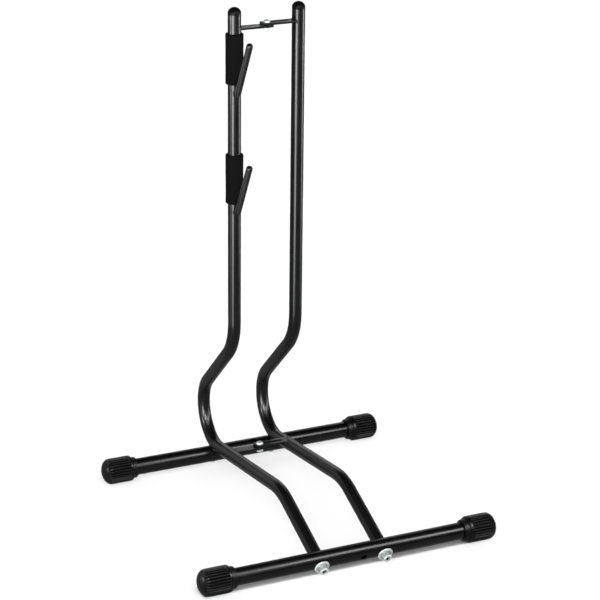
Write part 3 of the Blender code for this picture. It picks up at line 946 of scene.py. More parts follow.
@dataclass(frozen=True)
class Layout:
    """Where the CAD nodes are, and how far the right side can move in for a narrow wheel."""

    front_y: float
    rear_y: float
    bar_z: float
    left_x: float
    right_x: float
    upright_y: float
    narrowing: float = 33 * MM

    @classmethod
    def read(cls) -> "Layout":
        """Measure the frame.

        Returns:
            The layout.
        """
        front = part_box("front_cross_tube")
        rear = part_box("rear_cross_tube")
        left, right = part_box("top_cap_left"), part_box("top_cap_right")
        return cls(front_y=(front[0].y + front[1].y) / 2, rear_y=(rear[0].y + rear[1].y) / 2,
                   bar_z=(front[0].z + front[1].z) / 2, left_x=(left[0].x + left[1].x) / 2,
                   right_x=(right[0].x + right[1].x) / 2,
                   upright_y=(left[0].y + left[1].y) / 2)

    def side_x(self, side: Side) -> float:
        """Return the X of a side tube's axis."""
        return self.left_x if side is Side.LEFT else self.right_x


@dataclass(frozen=True)
class TubeRoute:
    """The side tube's line in the plane of one side, and the screws' slopes."""

    ramp: float = math.radians(22.2)
    ramp_length: float = 138 * MM
    knee_radius: float = 92 * MM
    heel_radius: float = 55.3 * MM
    seat_tilt: float = math.radians(14)
    stay: float = math.radians(137)
    neck_radius: float = 80 * MM
    top: float = 728.6 * MM
    tube_radius: float = 9.5 * MM
    bar_radius: float = 12.5 * MM
    chord: float = math.radians(1.8)

    def heel(self, layout: Layout) -> Pair:
        """Return (y, z) of the centre of the bend that rests on the rear bar."""
        reach = self.heel_radius + self.tube_radius + self.bar_radius + GAP
        return (layout.rear_y - reach * math.sin(self.seat_tilt),
                layout.bar_z + reach * math.cos(self.seat_tilt))

    def knee(self, layout: Layout) -> Pair:
        """Return (y, z) where the ramp's line meets the line down to the heel."""
        return (layout.front_y + self.ramp_length * math.cos(self.ramp),
                layout.bar_z + self.ramp_length * math.sin(self.ramp))

    def descent(self, layout: Layout) -> float:
        """Return the slope of the line from the knee that touches the heel bend from below.

        Args:
            layout: Where the CAD nodes are.

        Returns:
            The slope.
        """
        knee, heel = self.knee(layout), self.heel(layout)
        span = math.hypot(heel[0] - knee[0], heel[1] - knee[1])
        slope = math.atan2(heel[1] - knee[1], heel[0] - knee[0])
        return slope - math.asin(self.heel_radius / span)

    def arc(self, centre: Pair, radius: float, start: float, end: float) -> List[Pair]:
        """Return the (y, z) points of a bend.

        Args:
            centre: The bend's centre.
            radius: Its radius, negative where it turns clockwise.
            start: The direction at its start.
            end: The direction at its end.

        Returns:
            The points.
        """
        count = max(2, round(abs(end - start) / self.chord))
        angles = [start + (end - start) * index / count for index in range(count + 1)]
        return [(centre[0] + radius * math.sin(a), centre[1] - radius * math.cos(a))
                for a in angles]

    def bend(self, corner: Pair, radius: float, start: float, end: float) -> List[Pair]:
        """Return the (y, z) points that round a corner.

        Args:
            corner: The (y, z) of the corner.
            radius: The bend's radius.
            start: The direction before the corner.
            end: The direction after it.

        Returns:
            The points.
        """
        turn = end - start
        side = math.copysign(1, turn)
        tangent = radius * math.tan(abs(turn) / 2)
        first = (corner[0] - tangent * math.cos(start), corner[1] - tangent * math.sin(start))
        centre = (first[0] - side * radius * math.sin(start),
                  first[1] + side * radius * math.cos(start))
        return self.arc(centre, side * radius, start, end)

    def points(self, layout: Layout) -> List[Pair]:
        """Return the line's points from the front bar to the top.

        Args:
            layout: Where the CAD nodes are.

        Returns:
            The (y, z) points.
        """
        slope = self.descent(layout)
        heel = self.heel(layout)
        start = (heel[0] + self.heel_radius * math.sin(self.stay),
                 heel[1] - self.heel_radius * math.cos(self.stay))
        neck = (layout.upright_y,
                start[1] + (layout.upright_y - start[0]) * math.tan(self.stay))
        path = [(layout.front_y, layout.bar_z)]
        path += self.bend(self.knee(layout), self.knee_radius, self.ramp, slope)
        path += self.arc(heel, self.heel_radius, slope, self.stay)
        path += self.bend(neck, self.neck_radius, self.stay, math.pi / 2)
        path.append((layout.upright_y, self.top))
        return path

    def on_ramp(self, distance: float, x: float, layout: Layout) -> Vector:
        """Return a point on a front screw's line, counted from the bar's axis."""
        return Vector((x, layout.front_y + distance * math.cos(self.ramp),
                       layout.bar_z + distance * math.sin(self.ramp)))

    def on_seat(self, distance: float, x: float, layout: Layout) -> Vector:
        """Return a point on a rear screw's line, counted from the bar's axis."""
        return Vector((x, layout.rear_y - distance * math.sin(self.seat_tilt),
                       layout.bar_z + distance * math.cos(self.seat_tilt)))


@dataclass
class CrossBars:
    """The two black cross bars with their screw holes and the spare holes."""

    layout: Layout
    route: TubeRoute
    length: float = 445.4 * MM
    wall: float = 1.5 * MM
    edge: float = 0.4 * MM
    front_hole: float = 4.3 * MM
    rear_hole: float = 3.3 * MM
    sides: int = 128

    def build(self) -> None:
        """Build and dress both bars."""
        material = BLACK_COAT.material()
        lines = (("front", self.layout.front_y, self.route.ramp - math.pi / 2, self.front_hole),
                 ("rear", self.layout.rear_y, self.route.seat_tilt, self.rear_hole))
        radius, half = self.route.bar_radius, self.length / 2
        spare = self.layout.right_x - self.layout.narrowing
        ring = filleted([(radius - self.wall, half, 0.0), (radius, half, self.edge),
                         (radius, -half, self.edge), (radius - self.wall, -half, 0.0)], 3)
        for row, y, tilt, hole in lines:
            blank = Blank(turned(ring, self.sides, ring=True))
            blank.put(Matrix.Translation((0.0, y, self.layout.bar_z))
                      @ Matrix.Rotation(math.pi / 2, 4, "Y"))
            for x in (self.layout.left_x, self.layout.right_x, spare):
                drill = prism(40, hole, -30 * MM, 30 * MM)
                drill.transform(standing(Vector((x, y, self.layout.bar_z)), tilt))
                blank.cut(drill)
            show(f"black_bar_{row}", blank.mesh, material, BLACK_COAT.slot,
                 [f"{row}_cross_tube"])


@dataclass
class RibbedCaps:
    """The four rubber end caps: a full dome, a fluted body, a rounded shoulder and a ring."""

    layout: Layout
    flutes: FluteTree
    half_width: float = 230 * MM
    radius: float = 19.5 * MM
    dome: float = 13.3 * MM
    fullness: float = 2.14
    body: float = 40.9 * MM
    shoulder: float = 4.5 * MM
    drop: float = 1.1 * MM
    ring_radius: float = 16.1 * MM
    ring: float = 7.6 * MM
    bore: float = 12.55 * MM
    end_wall: float = 7 * MM
    count: int = 28
    flute_width: float = 3.7 * MM
    flute_depth: float = 3.0 * MM
    steps_per_flute: int = 14
    dome_steps: int = 24
    body_rows: int = 22
    shoulder_steps: int = 8

    @property
    def length(self) -> float:
        """Return the cap's whole length."""
        return self.body + self.shoulder + self.ring

    def outline(self) -> List[Pair]:
        """Make the cap's outline, with the dome up.

        Returns:
            The (radius, height) points.
        """
        base = self.length - self.dome
        power = 2 / self.fullness
        points: List[Pair] = []
        for step in range(self.dome_steps + 1):
            angle = math.pi / 2 * step / self.dome_steps
            points.append((self.radius * math.sin(angle) ** power,
                           base + self.dome * max(math.cos(angle), 0.0) ** power))
        foot = self.ring + self.shoulder
        points += [(self.radius, base + (foot - base) * step / self.body_rows)
                   for step in range(1, self.body_rows)]
        for step in range(self.shoulder_steps + 1):
            angle = math.pi / 2 * step / self.shoulder_steps
            points.append((self.radius - self.drop * (1 - math.cos(angle)),
                           foot - self.shoulder * math.sin(angle)))
        edge = self.radius - self.drop
        points += filleted([(edge, self.ring + 0.6 * MM, 0.0), (edge, self.ring, 0.45 * MM),
                            (self.ring_radius, self.ring, 0.5 * MM),
                            (self.ring_radius, 2.1 * MM, 0.3 * MM),
                            (self.ring_radius - 0.5 * MM, 1.9 * MM, 0.3 * MM),
                            (self.ring_radius - 0.5 * MM, 0.0, 0.5 * MM),
                            (self.bore, 0.0, 0.0)], 4)[1:]
        points += [(self.bore, self.length - self.end_wall), (0.0, self.length - self.end_wall)]
        return points

    def build(self) -> None:
        """Build and dress the four caps."""
        blank = turned(self.outline(), self.count * self.steps_per_flute)
        half_rib = math.pi / self.count
        for row, y in (("front", self.layout.front_y), ("rear", self.layout.rear_y)):
            material = RUBBER.material((y, self.layout.bar_z), self.radius)
            pressed = self.flutes.grow(blank, material, count=self.count, radius=self.radius,
                                       half_width=self.flute_width / 2, depth=self.flute_depth,
                                       start=self.ring + self.shoulder - 0.8 * MM,
                                       end=self.length, fade=0.9 * MM)
            for side in Side:
                mesh = pressed.copy()
                x = side.value * (self.half_width - self.length)
                mesh.transform(Matrix.Translation((x, y, self.layout.bar_z))
                               @ Matrix.Rotation(side.value * math.pi / 2, 4, "Y")
                               @ Matrix.Rotation(half_rib, 4, "Z"))
                show(f"ribbed_cap_{row}_{side.word}", mesh, material, RUBBER.slot,
                     [f"end_cap_{row}_{side.word}"], 50.0)


@dataclass
class SideTubes:
    """The two bent side tubes, with the domed plugs in their tops."""

    layout: Layout
    route: TubeRoute
    sweep: SweepTree
    wall: float = 1.5 * MM
    sides: int = 64
    rivet_hole: float = 4.8 * MM
    plug_rim: float = 3.4 * MM
    plug_dome: float = 6.9 * MM
    plug_stem: float = 16 * MM
    plug_steps: int = 20

    def build(self) -> None:
        """Build and dress both tubes and both plugs."""
        paint = GREY_COAT.material()
        plastic = PLASTIC.material()
        for side in Side:
            x = self.layout.side_x(side)
            line = polyline([Vector((x, y, z)) for y, z in self.route.points(self.layout)])
            skin = self.sweep.grow(line, paint, radius=self.route.tube_radius, sides=self.sides)
            blank = Blank(skin).wall(self.wall)
            cope = prism(96, self.route.bar_radius + 0.15 * MM, -40 * MM, 40 * MM)
            cope.transform(Matrix.Translation((x, self.layout.front_y, self.layout.bar_z))
                           @ Matrix.Rotation(math.pi / 2, 4, "Y"))
            drill = prism(32, self.rivet_hole, -3 * MM, 3 * MM)
            seat = self.route.on_seat(self.route.bar_radius + 1.0 * MM, x, self.layout)
            drill.transform(standing(seat, self.route.seat_tilt))
            blank.cut(cope).cut(drill)
            show(f"bent_tube_{side.word}", blank.mesh, paint, GREY_COAT.slot,
                 [f"side_tube_{side.word}"])
            plug = turned(self.plug_outline(), 96)
            plug.transform(Matrix.Translation((x, self.layout.upright_y,
                                               self.route.top + 0.1 * MM)))
            show(f"dome_plug_{side.word}", plug, plastic, PLASTIC.slot,
                 [f"top_cap_{side.word}"], 50.0)

    def plug_outline(self) -> List[Pair]:
        """Make the outline of a plug whose rim stands on height 0.

        Returns:
            The (radius, height) points.
        """
        radius = self.route.tube_radius
        ball = (radius ** 2 + self.plug_dome ** 2) / (2 * self.plug_dome)
        widest = math.atan2(radius, ball - self.plug_dome)
        crown = self.plug_rim + self.plug_dome - ball
        angles = [widest * step / self.plug_steps for step in range(self.plug_steps + 1)]
        points = [(ball * math.sin(a), crown + ball * math.cos(a)) for a in angles]
        stem = radius - self.wall - 0.2 * MM
        points += filleted([(radius, self.plug_rim - 0.3 * MM, 0.0), (radius, 0.0, 0.35 * MM),
                            (stem, 0.0, 0.0)], 4)
        return points + [(stem, -self.plug_stem), (0.0, -self.plug_stem)]


@dataclass
class FoamSleeves:
    """The two foam sleeves on the left upright."""

    layout: Layout
    radius: float = 13 * MM
    length: float = 72.6 * MM
    edge: float = 1.3 * MM
    end_zone: float = 4 * MM
    rows: int = 24
    bore: float = 9.55 * MM
    broad_dents: float = 0.10 * MM
    narrow_dents: float = 0.06 * MM
    bottoms: Tuple[Tuple[str, float], ...] = (("upper", 628.8 * MM), ("lower", 452.4 * MM))

    def outline(self) -> List[Pair]:
        """Make the sleeve's closed outline, with rows close enough for soft waves.

        Returns:
            The (radius, height) points.
        """
        below = self.length - self.end_zone
        top = filleted([(self.bore, self.length, 0.0), (self.radius, self.length, self.edge),
                        (self.radius, below, 0.0)], 6)
        sides = [(self.radius, below - (self.length - 2 * self.end_zone) * step / self.rows)
                 for step in range(1, self.rows)]
        foot = filleted([(self.radius, self.end_zone, 0.0), (self.radius, 0.0, self.edge),
                         (self.bore, 0.0, 0.0)], 6)
        return top + sides + foot

    def build(self) -> None:
        """Build and dress both sleeves."""
        material = FOAM.material()
        for phase, (place, bottom) in enumerate(self.bottoms):
            mesh = turned(self.outline(), 96, ring=True)
            for vertex in mesh.vertices:
                x, y, z = vertex.co
                around, up = math.atan2(y, x), z / self.length
                dent = self.broad_dents * (1 + math.sin(2 * around + 5 * up + phase))
                dent += self.narrow_dents * (1 + math.sin(3 * around - 9 * up + 2 * phase))
                reach = math.hypot(x, y)
                if reach > self.bore + 0.5 * MM:
                    share = (reach - dent) / reach
                    vertex.co = (x * share, y * share, z)
            mesh.transform(Matrix.Translation((self.layout.left_x, self.layout.upright_y,
                                               bottom)))
            sleeve = show(f"foam_grip_{place}", mesh, material, FOAM.slot,
                          [f"foam_sleeve_{place}"], 60.0)


@dataclass
class Welder:
    """Lays weld beads in the colour of the frame."""

    drops: WeldTree
    material: bpy.types.Material
    spacing: float = 0.85
    uneven: float = 0.16
    voxel: float = 0.28 * MM

    def lay(self, name: str, path: Sequence[Vector], radius: float, seed: int) -> None:
        """Lay one bead.

        Args:
            name: The piece's name.
            path: The points that the bead follows.
            radius: How thick it is.
            seed: What its uneven drops are drawn from.
        """
        strung = self.drops.grow(polyline(path), self.material, radius=radius,
                                 spacing=radius * self.spacing, uneven=self.uneven, seed=seed)
        bead = Blank(strung).fused(self.voxel)
        show(name, bead.mesh, self.material, GREY_COAT.slot, crease=80.0)


@dataclass
class WheelHooks:
    """The two leaning hooks on the left upright, with their tip plugs and welds."""

    layout: Layout
    route: TubeRoute
    welder: Welder
    sleeves: FoamSleeves
    radius: float = 4.75 * MM
    wall: float = 1.5 * MM
    lean: float = math.radians(28)
    length: float = 99 * MM
    foot: float = 5 * MM
    end_round: float = 4.2 * MM
    button: float = math.radians(48)
    closed_foot: float = 6 * MM
    plug_depth: float = 12 * MM
    sides: int = 48
    weld: float = 1.15 * MM
    weld_steps: int = 18

    def drop(self) -> float:
        """Find how far below a sleeve its hook's line meets the upright.

        Returns:
            The distance along the upright.
        """
        clear = self.sleeves.radius - self.route.tube_radius
        clear += (self.radius + GAP) / math.cos(self.lean)
        return clear / math.tan(self.lean)

    @property
    def ball(self) -> float:
        """Return the radius of the sphere that the round end is a part of."""
        return (self.radius ** 2 + self.end_round ** 2) / (2 * self.end_round)

    def spot(self, distance: float, bottom: float) -> Vector:
        """Return a point on a hook's axis, counted from the upright's front face."""
        return Vector((self.layout.left_x,
                       self.layout.upright_y - self.route.tube_radius
                       - distance * math.sin(self.lean),
                       bottom - self.drop() + distance * math.cos(self.lean)))

    def rounding(self, start: float, steps: int) -> List[Pair]:
        """Make the outline of the hook's round end, counted from where its side ends.

        Args:
            start: The angle from the axis at which the outline begins.
            steps: How many chords it has.

        Returns:
            The (radius, height) points from there to the side.
        """
        ball = self.ball
        widest = math.atan2(self.radius, ball - self.end_round)
        angles = [start + (widest - start) * step / steps for step in range(steps + 1)]
        return [(ball * math.sin(a), self.end_round - ball + ball * math.cos(a))
                for a in angles]

    def rod(self, bottom: float) -> bpy.types.Mesh:
        """Make one hook's rod with its rounded end, notched onto the upright.

        Args:
            bottom: The height of the lower end of the hook's sleeve.

        Returns:
            The mesh.
        """
        span = self.length - self.end_round - self.foot
        inner = self.radius - self.wall
        outline = [(radius, span + height) for radius, height in self.rounding(self.button, 12)]
        outline += filleted([(self.radius, span - 1.0 * MM, 0.0), (self.radius, 0.0, 1.0 * MM),
                             (0.0, 0.0, 0.0)], 4)
        outline += [(0.0, self.closed_foot), (inner, self.closed_foot), (inner, outline[0][1])]
        blank = Blank(turned(outline, self.sides, ring=True))
        blank.put(standing(self.spot(self.foot, bottom), self.lean))
        notch = prism(64, self.route.tube_radius + 0.05 * MM, -60 * MM, 60 * MM)
        notch.transform(Matrix.Translation((self.layout.left_x, self.layout.upright_y,
                                            bottom - self.drop())))
        return blank.cut(notch).mesh

    def tip(self) -> bpy.types.Mesh:
        """Make a tip plug whose height 0 is where the rod's side ends.

        Returns:
            The mesh.
        """
        points = [(radius, height) for radius, height in self.rounding(0.0, 24)
                  if radius < self.ball * math.sin(self.button)]
        rim = points[-1]
        stem = self.radius - self.wall - 0.2 * MM
        points += [(rim[0], rim[1] - 0.3 * MM), (stem, rim[1] - 0.3 * MM),
                   (stem, -self.plug_depth), (0.0, -self.plug_depth)]
        return turned(points, self.sides)

    def weld_path(self, bottom: float) -> List[Vector]:
        """Trace the line round the foot of a hook, on the upright's face.

        Args:
            bottom: The height of the lower end of the hook's sleeve.

        Returns:
            The points.
        """
        centre = self.spot(self.foot, bottom)
        path: List[Vector] = []
        reach = self.route.tube_radius + 0.2 * MM
        # It starts above the left side, goes under the foot and ends above the right side.
        for step in range(self.weld_steps + 1):
            angle = math.radians(-200 + 220 * step / self.weld_steps)
            x = self.radius * 1.08 * math.cos(angle)
            y = -math.sqrt(max(reach ** 2 - x ** 2, 0.0))
            z = centre.z + 1.0 * MM + 5.4 * MM * math.sin(angle)
            path.append(Vector((self.layout.left_x + x, self.layout.upright_y + y, z)))
        return path

    def build(self) -> None:
        """Build and dress both hooks."""
        paint = GREY_COAT.material()
        plastic = PLASTIC.material()
        for seed, (place, bottom) in enumerate(self.sleeves.bottoms):
            show(f"hook_arm_{place}", self.rod(bottom), paint, GREY_COAT.slot,
                 [f"hook_rod_{place}"])
            tip = self.tip()
            end = self.length - self.end_round + 0.1 * MM
            tip.transform(standing(self.spot(end, bottom), self.lean))
            show(f"hook_tip_{place}", tip, plastic, PLASTIC.slot, [f"hook_cap_{place}"], 50.0)
            self.welder.lay(f"weld_hook_{place}", self.weld_path(bottom), self.weld, 11 + seed)


@dataclass
class ButtonScrew:
    """A button-headed socket screw."""

    head: float = 5.25 * MM
    height: float = 3.3 * MM
    shank: float = 3.0 * MM
    recess: float = 4.0 * MM
    recess_depth: float = 1.9 * MM
    thread_pitch: float = 1.0 * MM
    thread_depth: float = 0.32 * MM
    point: float = 0.6 * MM
    crown: float = 2.9 * MM
    rim: float = 0.55 * MM
    dome_steps: int = 12

    def mesh(self, length: float, threaded: float) -> bpy.types.Mesh:
        """Build the screw with its head on height 0 and its shank below.

        Args:
            length: The shank's length.
            threaded: How much of the shank's end shows thread.

        Returns:
            The mesh.
        """
        points = [(0.0, self.height)]
        for step in range(self.dome_steps + 1):
            angle = step / self.dome_steps * math.pi / 2
            points.append((self.crown + (self.head - self.crown) * math.sin(angle),
                           self.rim + (self.height - self.rim) * math.cos(angle)))
        points += filleted([(self.head, 0.5 * MM, 0.0), (self.head, 0.0, 0.25 * MM),
                            (self.shank, 0.0, 0.0)], 3)
        points.append((self.shank, -length + threaded))
        ridges = max(1, int((threaded - self.point) / self.thread_pitch * 2))
        for index in range(ridges):
            low = self.shank - (self.thread_depth if index % 2 == 0 else 0.0)
            points.append((low, -length + threaded - (index + 1) * self.thread_pitch / 2))
        points += [(self.shank - 0.4 * MM, -length), (0.0, -length)]
        blank = Blank(turned(points, 64))
        corner = self.recess / 2 / math.cos(math.pi / 6)
        hollow = prism(6, corner, self.height - self.recess_depth, self.height + 2 * MM)
        return blank.cut(hollow).mesh


@dataclass
class Straps:
    """The two rows of overlapping straps, with their screws, nuts and welds."""

    layout: Layout
    route: TubeRoute
    welder: Welder
    width: float = 16 * MM
    thickness: float = 3 * MM
    edge: float = 0.9 * MM
    overhang: float = 7.5 * MM
    top_height: float = 706.6 * MM
    rear_height: float = 48.3 * MM
    rear_setback: float = 67.5 * MM
    hole: float = 3.3 * MM
    nut_across: float = 10 * MM
    nut_height: float = 5.2 * MM
    nut_bore: float = 3.05 * MM
    nut_sink: float = 3.7 * MM
    nut_turn: float = math.radians(10)
    nut_bevel: float = 0.15 * MM
    tail: float = 1.5 * MM
    weld: float = 0.9 * MM
    weld_steps: int = 6

    def plate(self, side: Side, y: float, low: float, tube: bpy.types.Mesh) -> bpy.types.Mesh:
        """Build one strap.

        Args:
            side: The side whose tube carries it.
            y: The middle of its width.
            low: The height of its lower face.
            tube: The cutter of that side's tube.

        Returns:
            The mesh.
        """
        axis = self.layout.side_x(side)
        end = -side.value * self.overhang
        bm = bmesh.new()
        bmesh.ops.create_cube(bm, size=1.0)
        bmesh.ops.scale(bm, vec=(abs(end - axis), self.width, self.thickness), verts=bm.verts)
        bmesh.ops.translate(bm, vec=((end + axis) / 2, y, low + self.thickness / 2),
                            verts=bm.verts)
        blank = Blank(closed_mesh(bm, "strap"))
        blank.cut(self.opening(side, y, low)).cut(tube)
        return blank.bevel(self.edge, 4).mesh

    def opening(self, side: Side, y: float, low: float) -> bpy.types.Mesh:
        """Make the cutter of a strap's opening: a hole on the left, a slot on the right.

        Args:
            side: The strap's side.
            y: The middle of its width.
            low: The height of its lower face.

        Returns:
            The cutter; a slot runs from X 0 along +X.
        """
        if side is Side.LEFT:
            turn = [2 * math.pi * step / 48 for step in range(48)]
            outline = [(self.hole * math.cos(a), self.hole * math.sin(a)) for a in turn]
        else:
            turn = [math.pi / 2 + math.pi * step / 24 for step in range(49)]
            ends = [0.0] * 25 + [self.layout.narrowing] * 25
            outline = [(end + self.hole * math.cos(a), self.hole * math.sin(a))
                       for end, a in zip(ends, turn[:25] + turn[24:])]
        return extruded([(x, y + across) for x, across in outline], low - 2 * MM,
                        low + self.thickness + 2 * MM)

    def nut(self) -> bpy.types.Mesh:
        """Make a hexagon nut on height 0, chamfered on both faces, with its bore.

        Returns:
            The mesh.
        """
        corner = self.nut_across / 2 / math.cos(math.pi / 6)
        flat = self.nut_across / 2
        blank = Blank(prism(6, corner, 0.0, self.nut_height, self.nut_turn))
        rise = (corner - flat + self.nut_bevel) * math.tan(math.radians(30))
        cone = turned([(0.0, self.nut_height), (flat - self.nut_bevel, self.nut_height),
                       (corner + 0.2 * MM, self.nut_height - rise - 0.2 * MM),
                       (corner + 0.2 * MM, rise + 0.2 * MM), (flat - self.nut_bevel, 0.0),
                       (0.0, 0.0)], 64)
        wide, bore = self.nut_sink, self.nut_bore
        drill = turned([(0.0, self.nut_height + 1 * MM), (wide, self.nut_height + 1 * MM),
                        (wide, self.nut_height), (bore, self.nut_height - 0.6 * MM),
                        (bore, 0.6 * MM), (wide, 0.0), (wide, -1 * MM), (0.0, -1 * MM)], 48)
        return blank.cut(cone, Cut.KEEP).cut(drill).mesh

    def weld_path(self, side: Side, y: float, low: float, tube_z: float,
                  slope: float) -> List[Vector]:
        """Trace where a strap's end meets its tube: under it, up its front, over it.

        Args:
            side: The tube's side.
            y: The middle of the strap's width.
            low: The height of the strap's lower face.
            tube_z: The height of the tube's axis at that place.
            slope: The tube's slope there; a right angle means an upright.

        Returns:
            The points.
        """
        axis = self.layout.side_x(side)
        reach = self.route.tube_radius + 0.2 * MM
        half = self.width / 2
        rows = [(low - 0.2 * MM, 1), (low + self.thickness + 0.2 * MM, -1)]
        path: List[Vector] = []
        for z, order in rows:
            for step in range(2 * self.weld_steps + 1):
                dy = order * half * (1 - step / self.weld_steps)
                if math.isclose(slope, math.pi / 2):
                    dx = math.sqrt(max(reach ** 2 - dy ** 2, 0.0))
                else:
                    rise = (z - tube_z - dy * math.tan(slope)) * math.cos(slope)
                    dx = math.sqrt(max(reach ** 2 - rise ** 2, 0.0))
                path.append(Vector((axis - side.value * dx, y + dy, z)))
        return path

    def row(self, name: str, y: float, low: float, slope: float, tube_z: float) -> None:
        """Build and dress one row of straps.

        Args:
            name: The row's name in the CAD model.
            y: The middle of the straps' width.
            low: The height of the lower strap's lower face.
            slope: The tubes' slope there; a right angle means an upright.
            tube_z: The height of the tubes' axes there.
        """
        paint = GREY_COAT.material()
        for seed, side in enumerate(Side):
            height = low if side is Side.LEFT else low + self.thickness + GAP
            tube = prism(96, self.route.tube_radius + 0.05 * MM, -60 * MM, 60 * MM)
            tube.transform(standing(Vector((self.layout.side_x(side), y, tube_z)),
                                    slope - math.pi / 2))
            show(f"strap_plate_{name}_{side.word}", self.plate(side, y, height, tube), paint,
                 GREY_COAT.slot, [f"strap_{name}_{side.word}"])
            path = self.weld_path(side, y, height, tube_z, slope)
            self.welder.lay(f"weld_strap_{name}_{side.word}", path, self.weld, 21 + seed)
        seat = low + 2 * self.thickness + 1.5 * GAP
        screws = ButtonScrew()
        # The screw's hex recess is painted in shade.
        zinc = ZINC.material(Vector((0.0, y, seat)), 0.0,
                             PaintedShadeZones(HOLLOW_SHADE_REACH * screws.recess, screws.height))
        length = seat - (low - GAP - self.nut_height - self.tail)
        screw = screws.mesh(length, self.nut_height + self.tail)
        screw.transform(Matrix.Translation((0.0, y, seat)))
        show(f"button_screw_{name}", screw, zinc, ZINC.slot, [f"strap_bolt_{name}"])
        nut = self.nut()
        nut.transform(Matrix.Translation((0.0, y, low - 0.1 * MM - self.nut_height)))
        show(f"hex_nut_{name}", nut, zinc, ZINC.slot, [f"strap_nut_{name}"])

    def build(self) -> None:
        """Build both rows."""
        self.row("top", self.layout.upright_y, self.top_height, math.pi / 2, self.top_height)
        slope = self.route.descent(self.layout)
        knee = self.route.knee(self.layout)
        y = self.layout.rear_y - self.rear_setback
        self.row("rear", y, self.rear_height, slope,
                 knee[1] + (y - knee[0]) * math.tan(slope))


@dataclass
class BarScrews:
    """The screws and washers on the front bar and the button screws under the rear one."""

    layout: Layout
    route: TubeRoute
    flutes: FluteTree
    head: float = 6.5 * MM
    head_height: float = 8 * MM
    recess: float = 6 * MM
    recess_depth: float = 4 * MM
    shank: float = 4 * MM
    shank_length: float = 49.7 * MM
    washer: float = 11 * MM
    washer_hole: float = 4.3 * MM
    washer_thickness: float = 1.8 * MM
    collar: float = 7.5 * MM
    collar_height: float = 1.7 * MM
    collar_split: float = 0.9 * MM
    rear_length: float = 34.5 * MM
    rear_thread: float = 8 * MM
    play: float = 0.1 * MM
    knurls: int = 48
    steps_per_knurl: int = 6

    def socket_screw(self, material: bpy.types.Material) -> bpy.types.Mesh:
        """Make a socket screw with a knurled head on height 0 and its shank below.

        Args:
            material: The screw's finish.

        Returns:
            The mesh.
        """
        edge = 0.6 * MM
        outline = [(0.0, self.head_height)]
        outline += filleted([(self.head - 2 * edge, self.head_height, 0.0),
                             (self.head, self.head_height, edge),
                             (self.head, self.head_height - 2 * edge, 0.0)], 5)
        outline += [(self.head, self.head_height * (1 - step / 14)) for step in range(3, 14)]
        outline += filleted([(self.head, 0.6 * MM, 0.0), (self.head, 0.0, 0.2 * MM),
                             (self.shank, 0.0, 0.0)], 3)
        outline += [(self.shank, -self.shank_length), (0.0, -self.shank_length)]
        knurled = self.flutes.grow(turned(outline, self.knurls * self.steps_per_knurl), material,
                                   count=self.knurls, radius=self.head,
                                   half_width=0.30 * MM, depth=0.16 * MM,
                                   start=0.5 * MM, end=self.head_height - 1.0 * MM,
                                   fade=0.4 * MM)
        corner = self.recess / 2 / math.cos(math.pi / 6)
        hollow = prism(6, corner, self.head_height - self.recess_depth,
                       self.head_height + 2 * MM, math.radians(8))
        return Blank(knurled).cut(hollow).mesh

    def flat_washer(self) -> bpy.types.Mesh:
        """Make a flat washer that stands on height 0, with a softly rounded rim.

        Returns:
            The mesh.
        """
        outline = filleted([(self.washer_hole, 0.4 * MM, 0.0), (self.washer_hole, 0.0, 0.2 * MM),
                            (self.washer, 0.0, 0.3 * MM),
                            (self.washer, self.washer_thickness, 0.6 * MM),
                            (self.washer_hole, self.washer_thickness, 0.2 * MM),
                            (self.washer_hole, 0.4 * MM, 0.0)], 4)
        return turned(outline[:-1], 96, ring=True)

    def split_ring(self) -> bpy.types.Mesh:
        """Make the split spring ring round the foot of the screw's head, on height 0.

        Returns:
            The mesh.
        """
        inner = self.head + 0.1 * MM
        outline = filleted([(inner, 0.5 * MM, 0.0), (inner, 0.0, 0.1 * MM),
                            (self.collar, 0.0, 0.1 * MM),
                            (self.collar, self.collar_height, 0.3 * MM),
                            (inner, self.collar_height, 0.2 * MM), (inner, 0.5 * MM, 0.0)], 3)
        blank = Blank(turned(outline[:-1], 96, ring=True))
        gap = prism(4, self.collar_split / math.sqrt(2), -1 * MM, 3 * MM, math.pi / 4)
        gap.transform(Matrix.Rotation(math.radians(115), 4, "Z")
                      @ Matrix.Translation((self.collar, 0.0, 0.0))
                      @ Matrix.Scale(4.0, 4, (1.0, 0.0, 0.0)))
        return blank.cut(gap).mesh

    def build(self) -> None:
        """Build and dress the screws and washers of both bars."""
        for side in Side:
            self.front(side)
            self.rear(side)

    def front(self, side: Side) -> None:
        """Build and dress one screw of the front bar, with its washer, ring and hidden plug.

        Args:
            side: The side.
        """
        x = self.layout.side_x(side)
        outward = self.route.ramp + math.pi / 2
        seat = self.route.bar_radius + GAP
        base = seat + self.washer_thickness + self.play
        face = base + self.head_height
        # Painted shade in the hex recess and in the crevice round the head and its spring ring.
        zinc = ZINC.material(self.route.on_ramp(0.0, x, self.layout), outward,
                             PaintedShadeZones(HOLLOW_SHADE_REACH * self.recess, face,
                                       (self.head, self.collar),
                                       (seat + self.washer_thickness, face - 0.9 * MM)))
        washer = self.flat_washer()
        washer.transform(standing(self.route.on_ramp(-seat, x, self.layout), outward))
        show(f"flat_washer_{side.word}", washer, zinc, ZINC.slot, [f"front_washer_{side.word}"])
        ring = self.split_ring()
        ring.transform(standing(self.route.on_ramp(-base, x, self.layout), outward))
        show(f"spring_ring_{side.word}", ring, zinc, ZINC.slot)
        screw = self.socket_screw(zinc)
        screw.transform(standing(self.route.on_ramp(-base, x, self.layout), outward))
        show(f"socket_screw_{side.word}", screw, zinc, ZINC.slot, [f"front_bolt_{side.word}"])
        self.plate(f"threaded_plug_{side.word}", zinc)

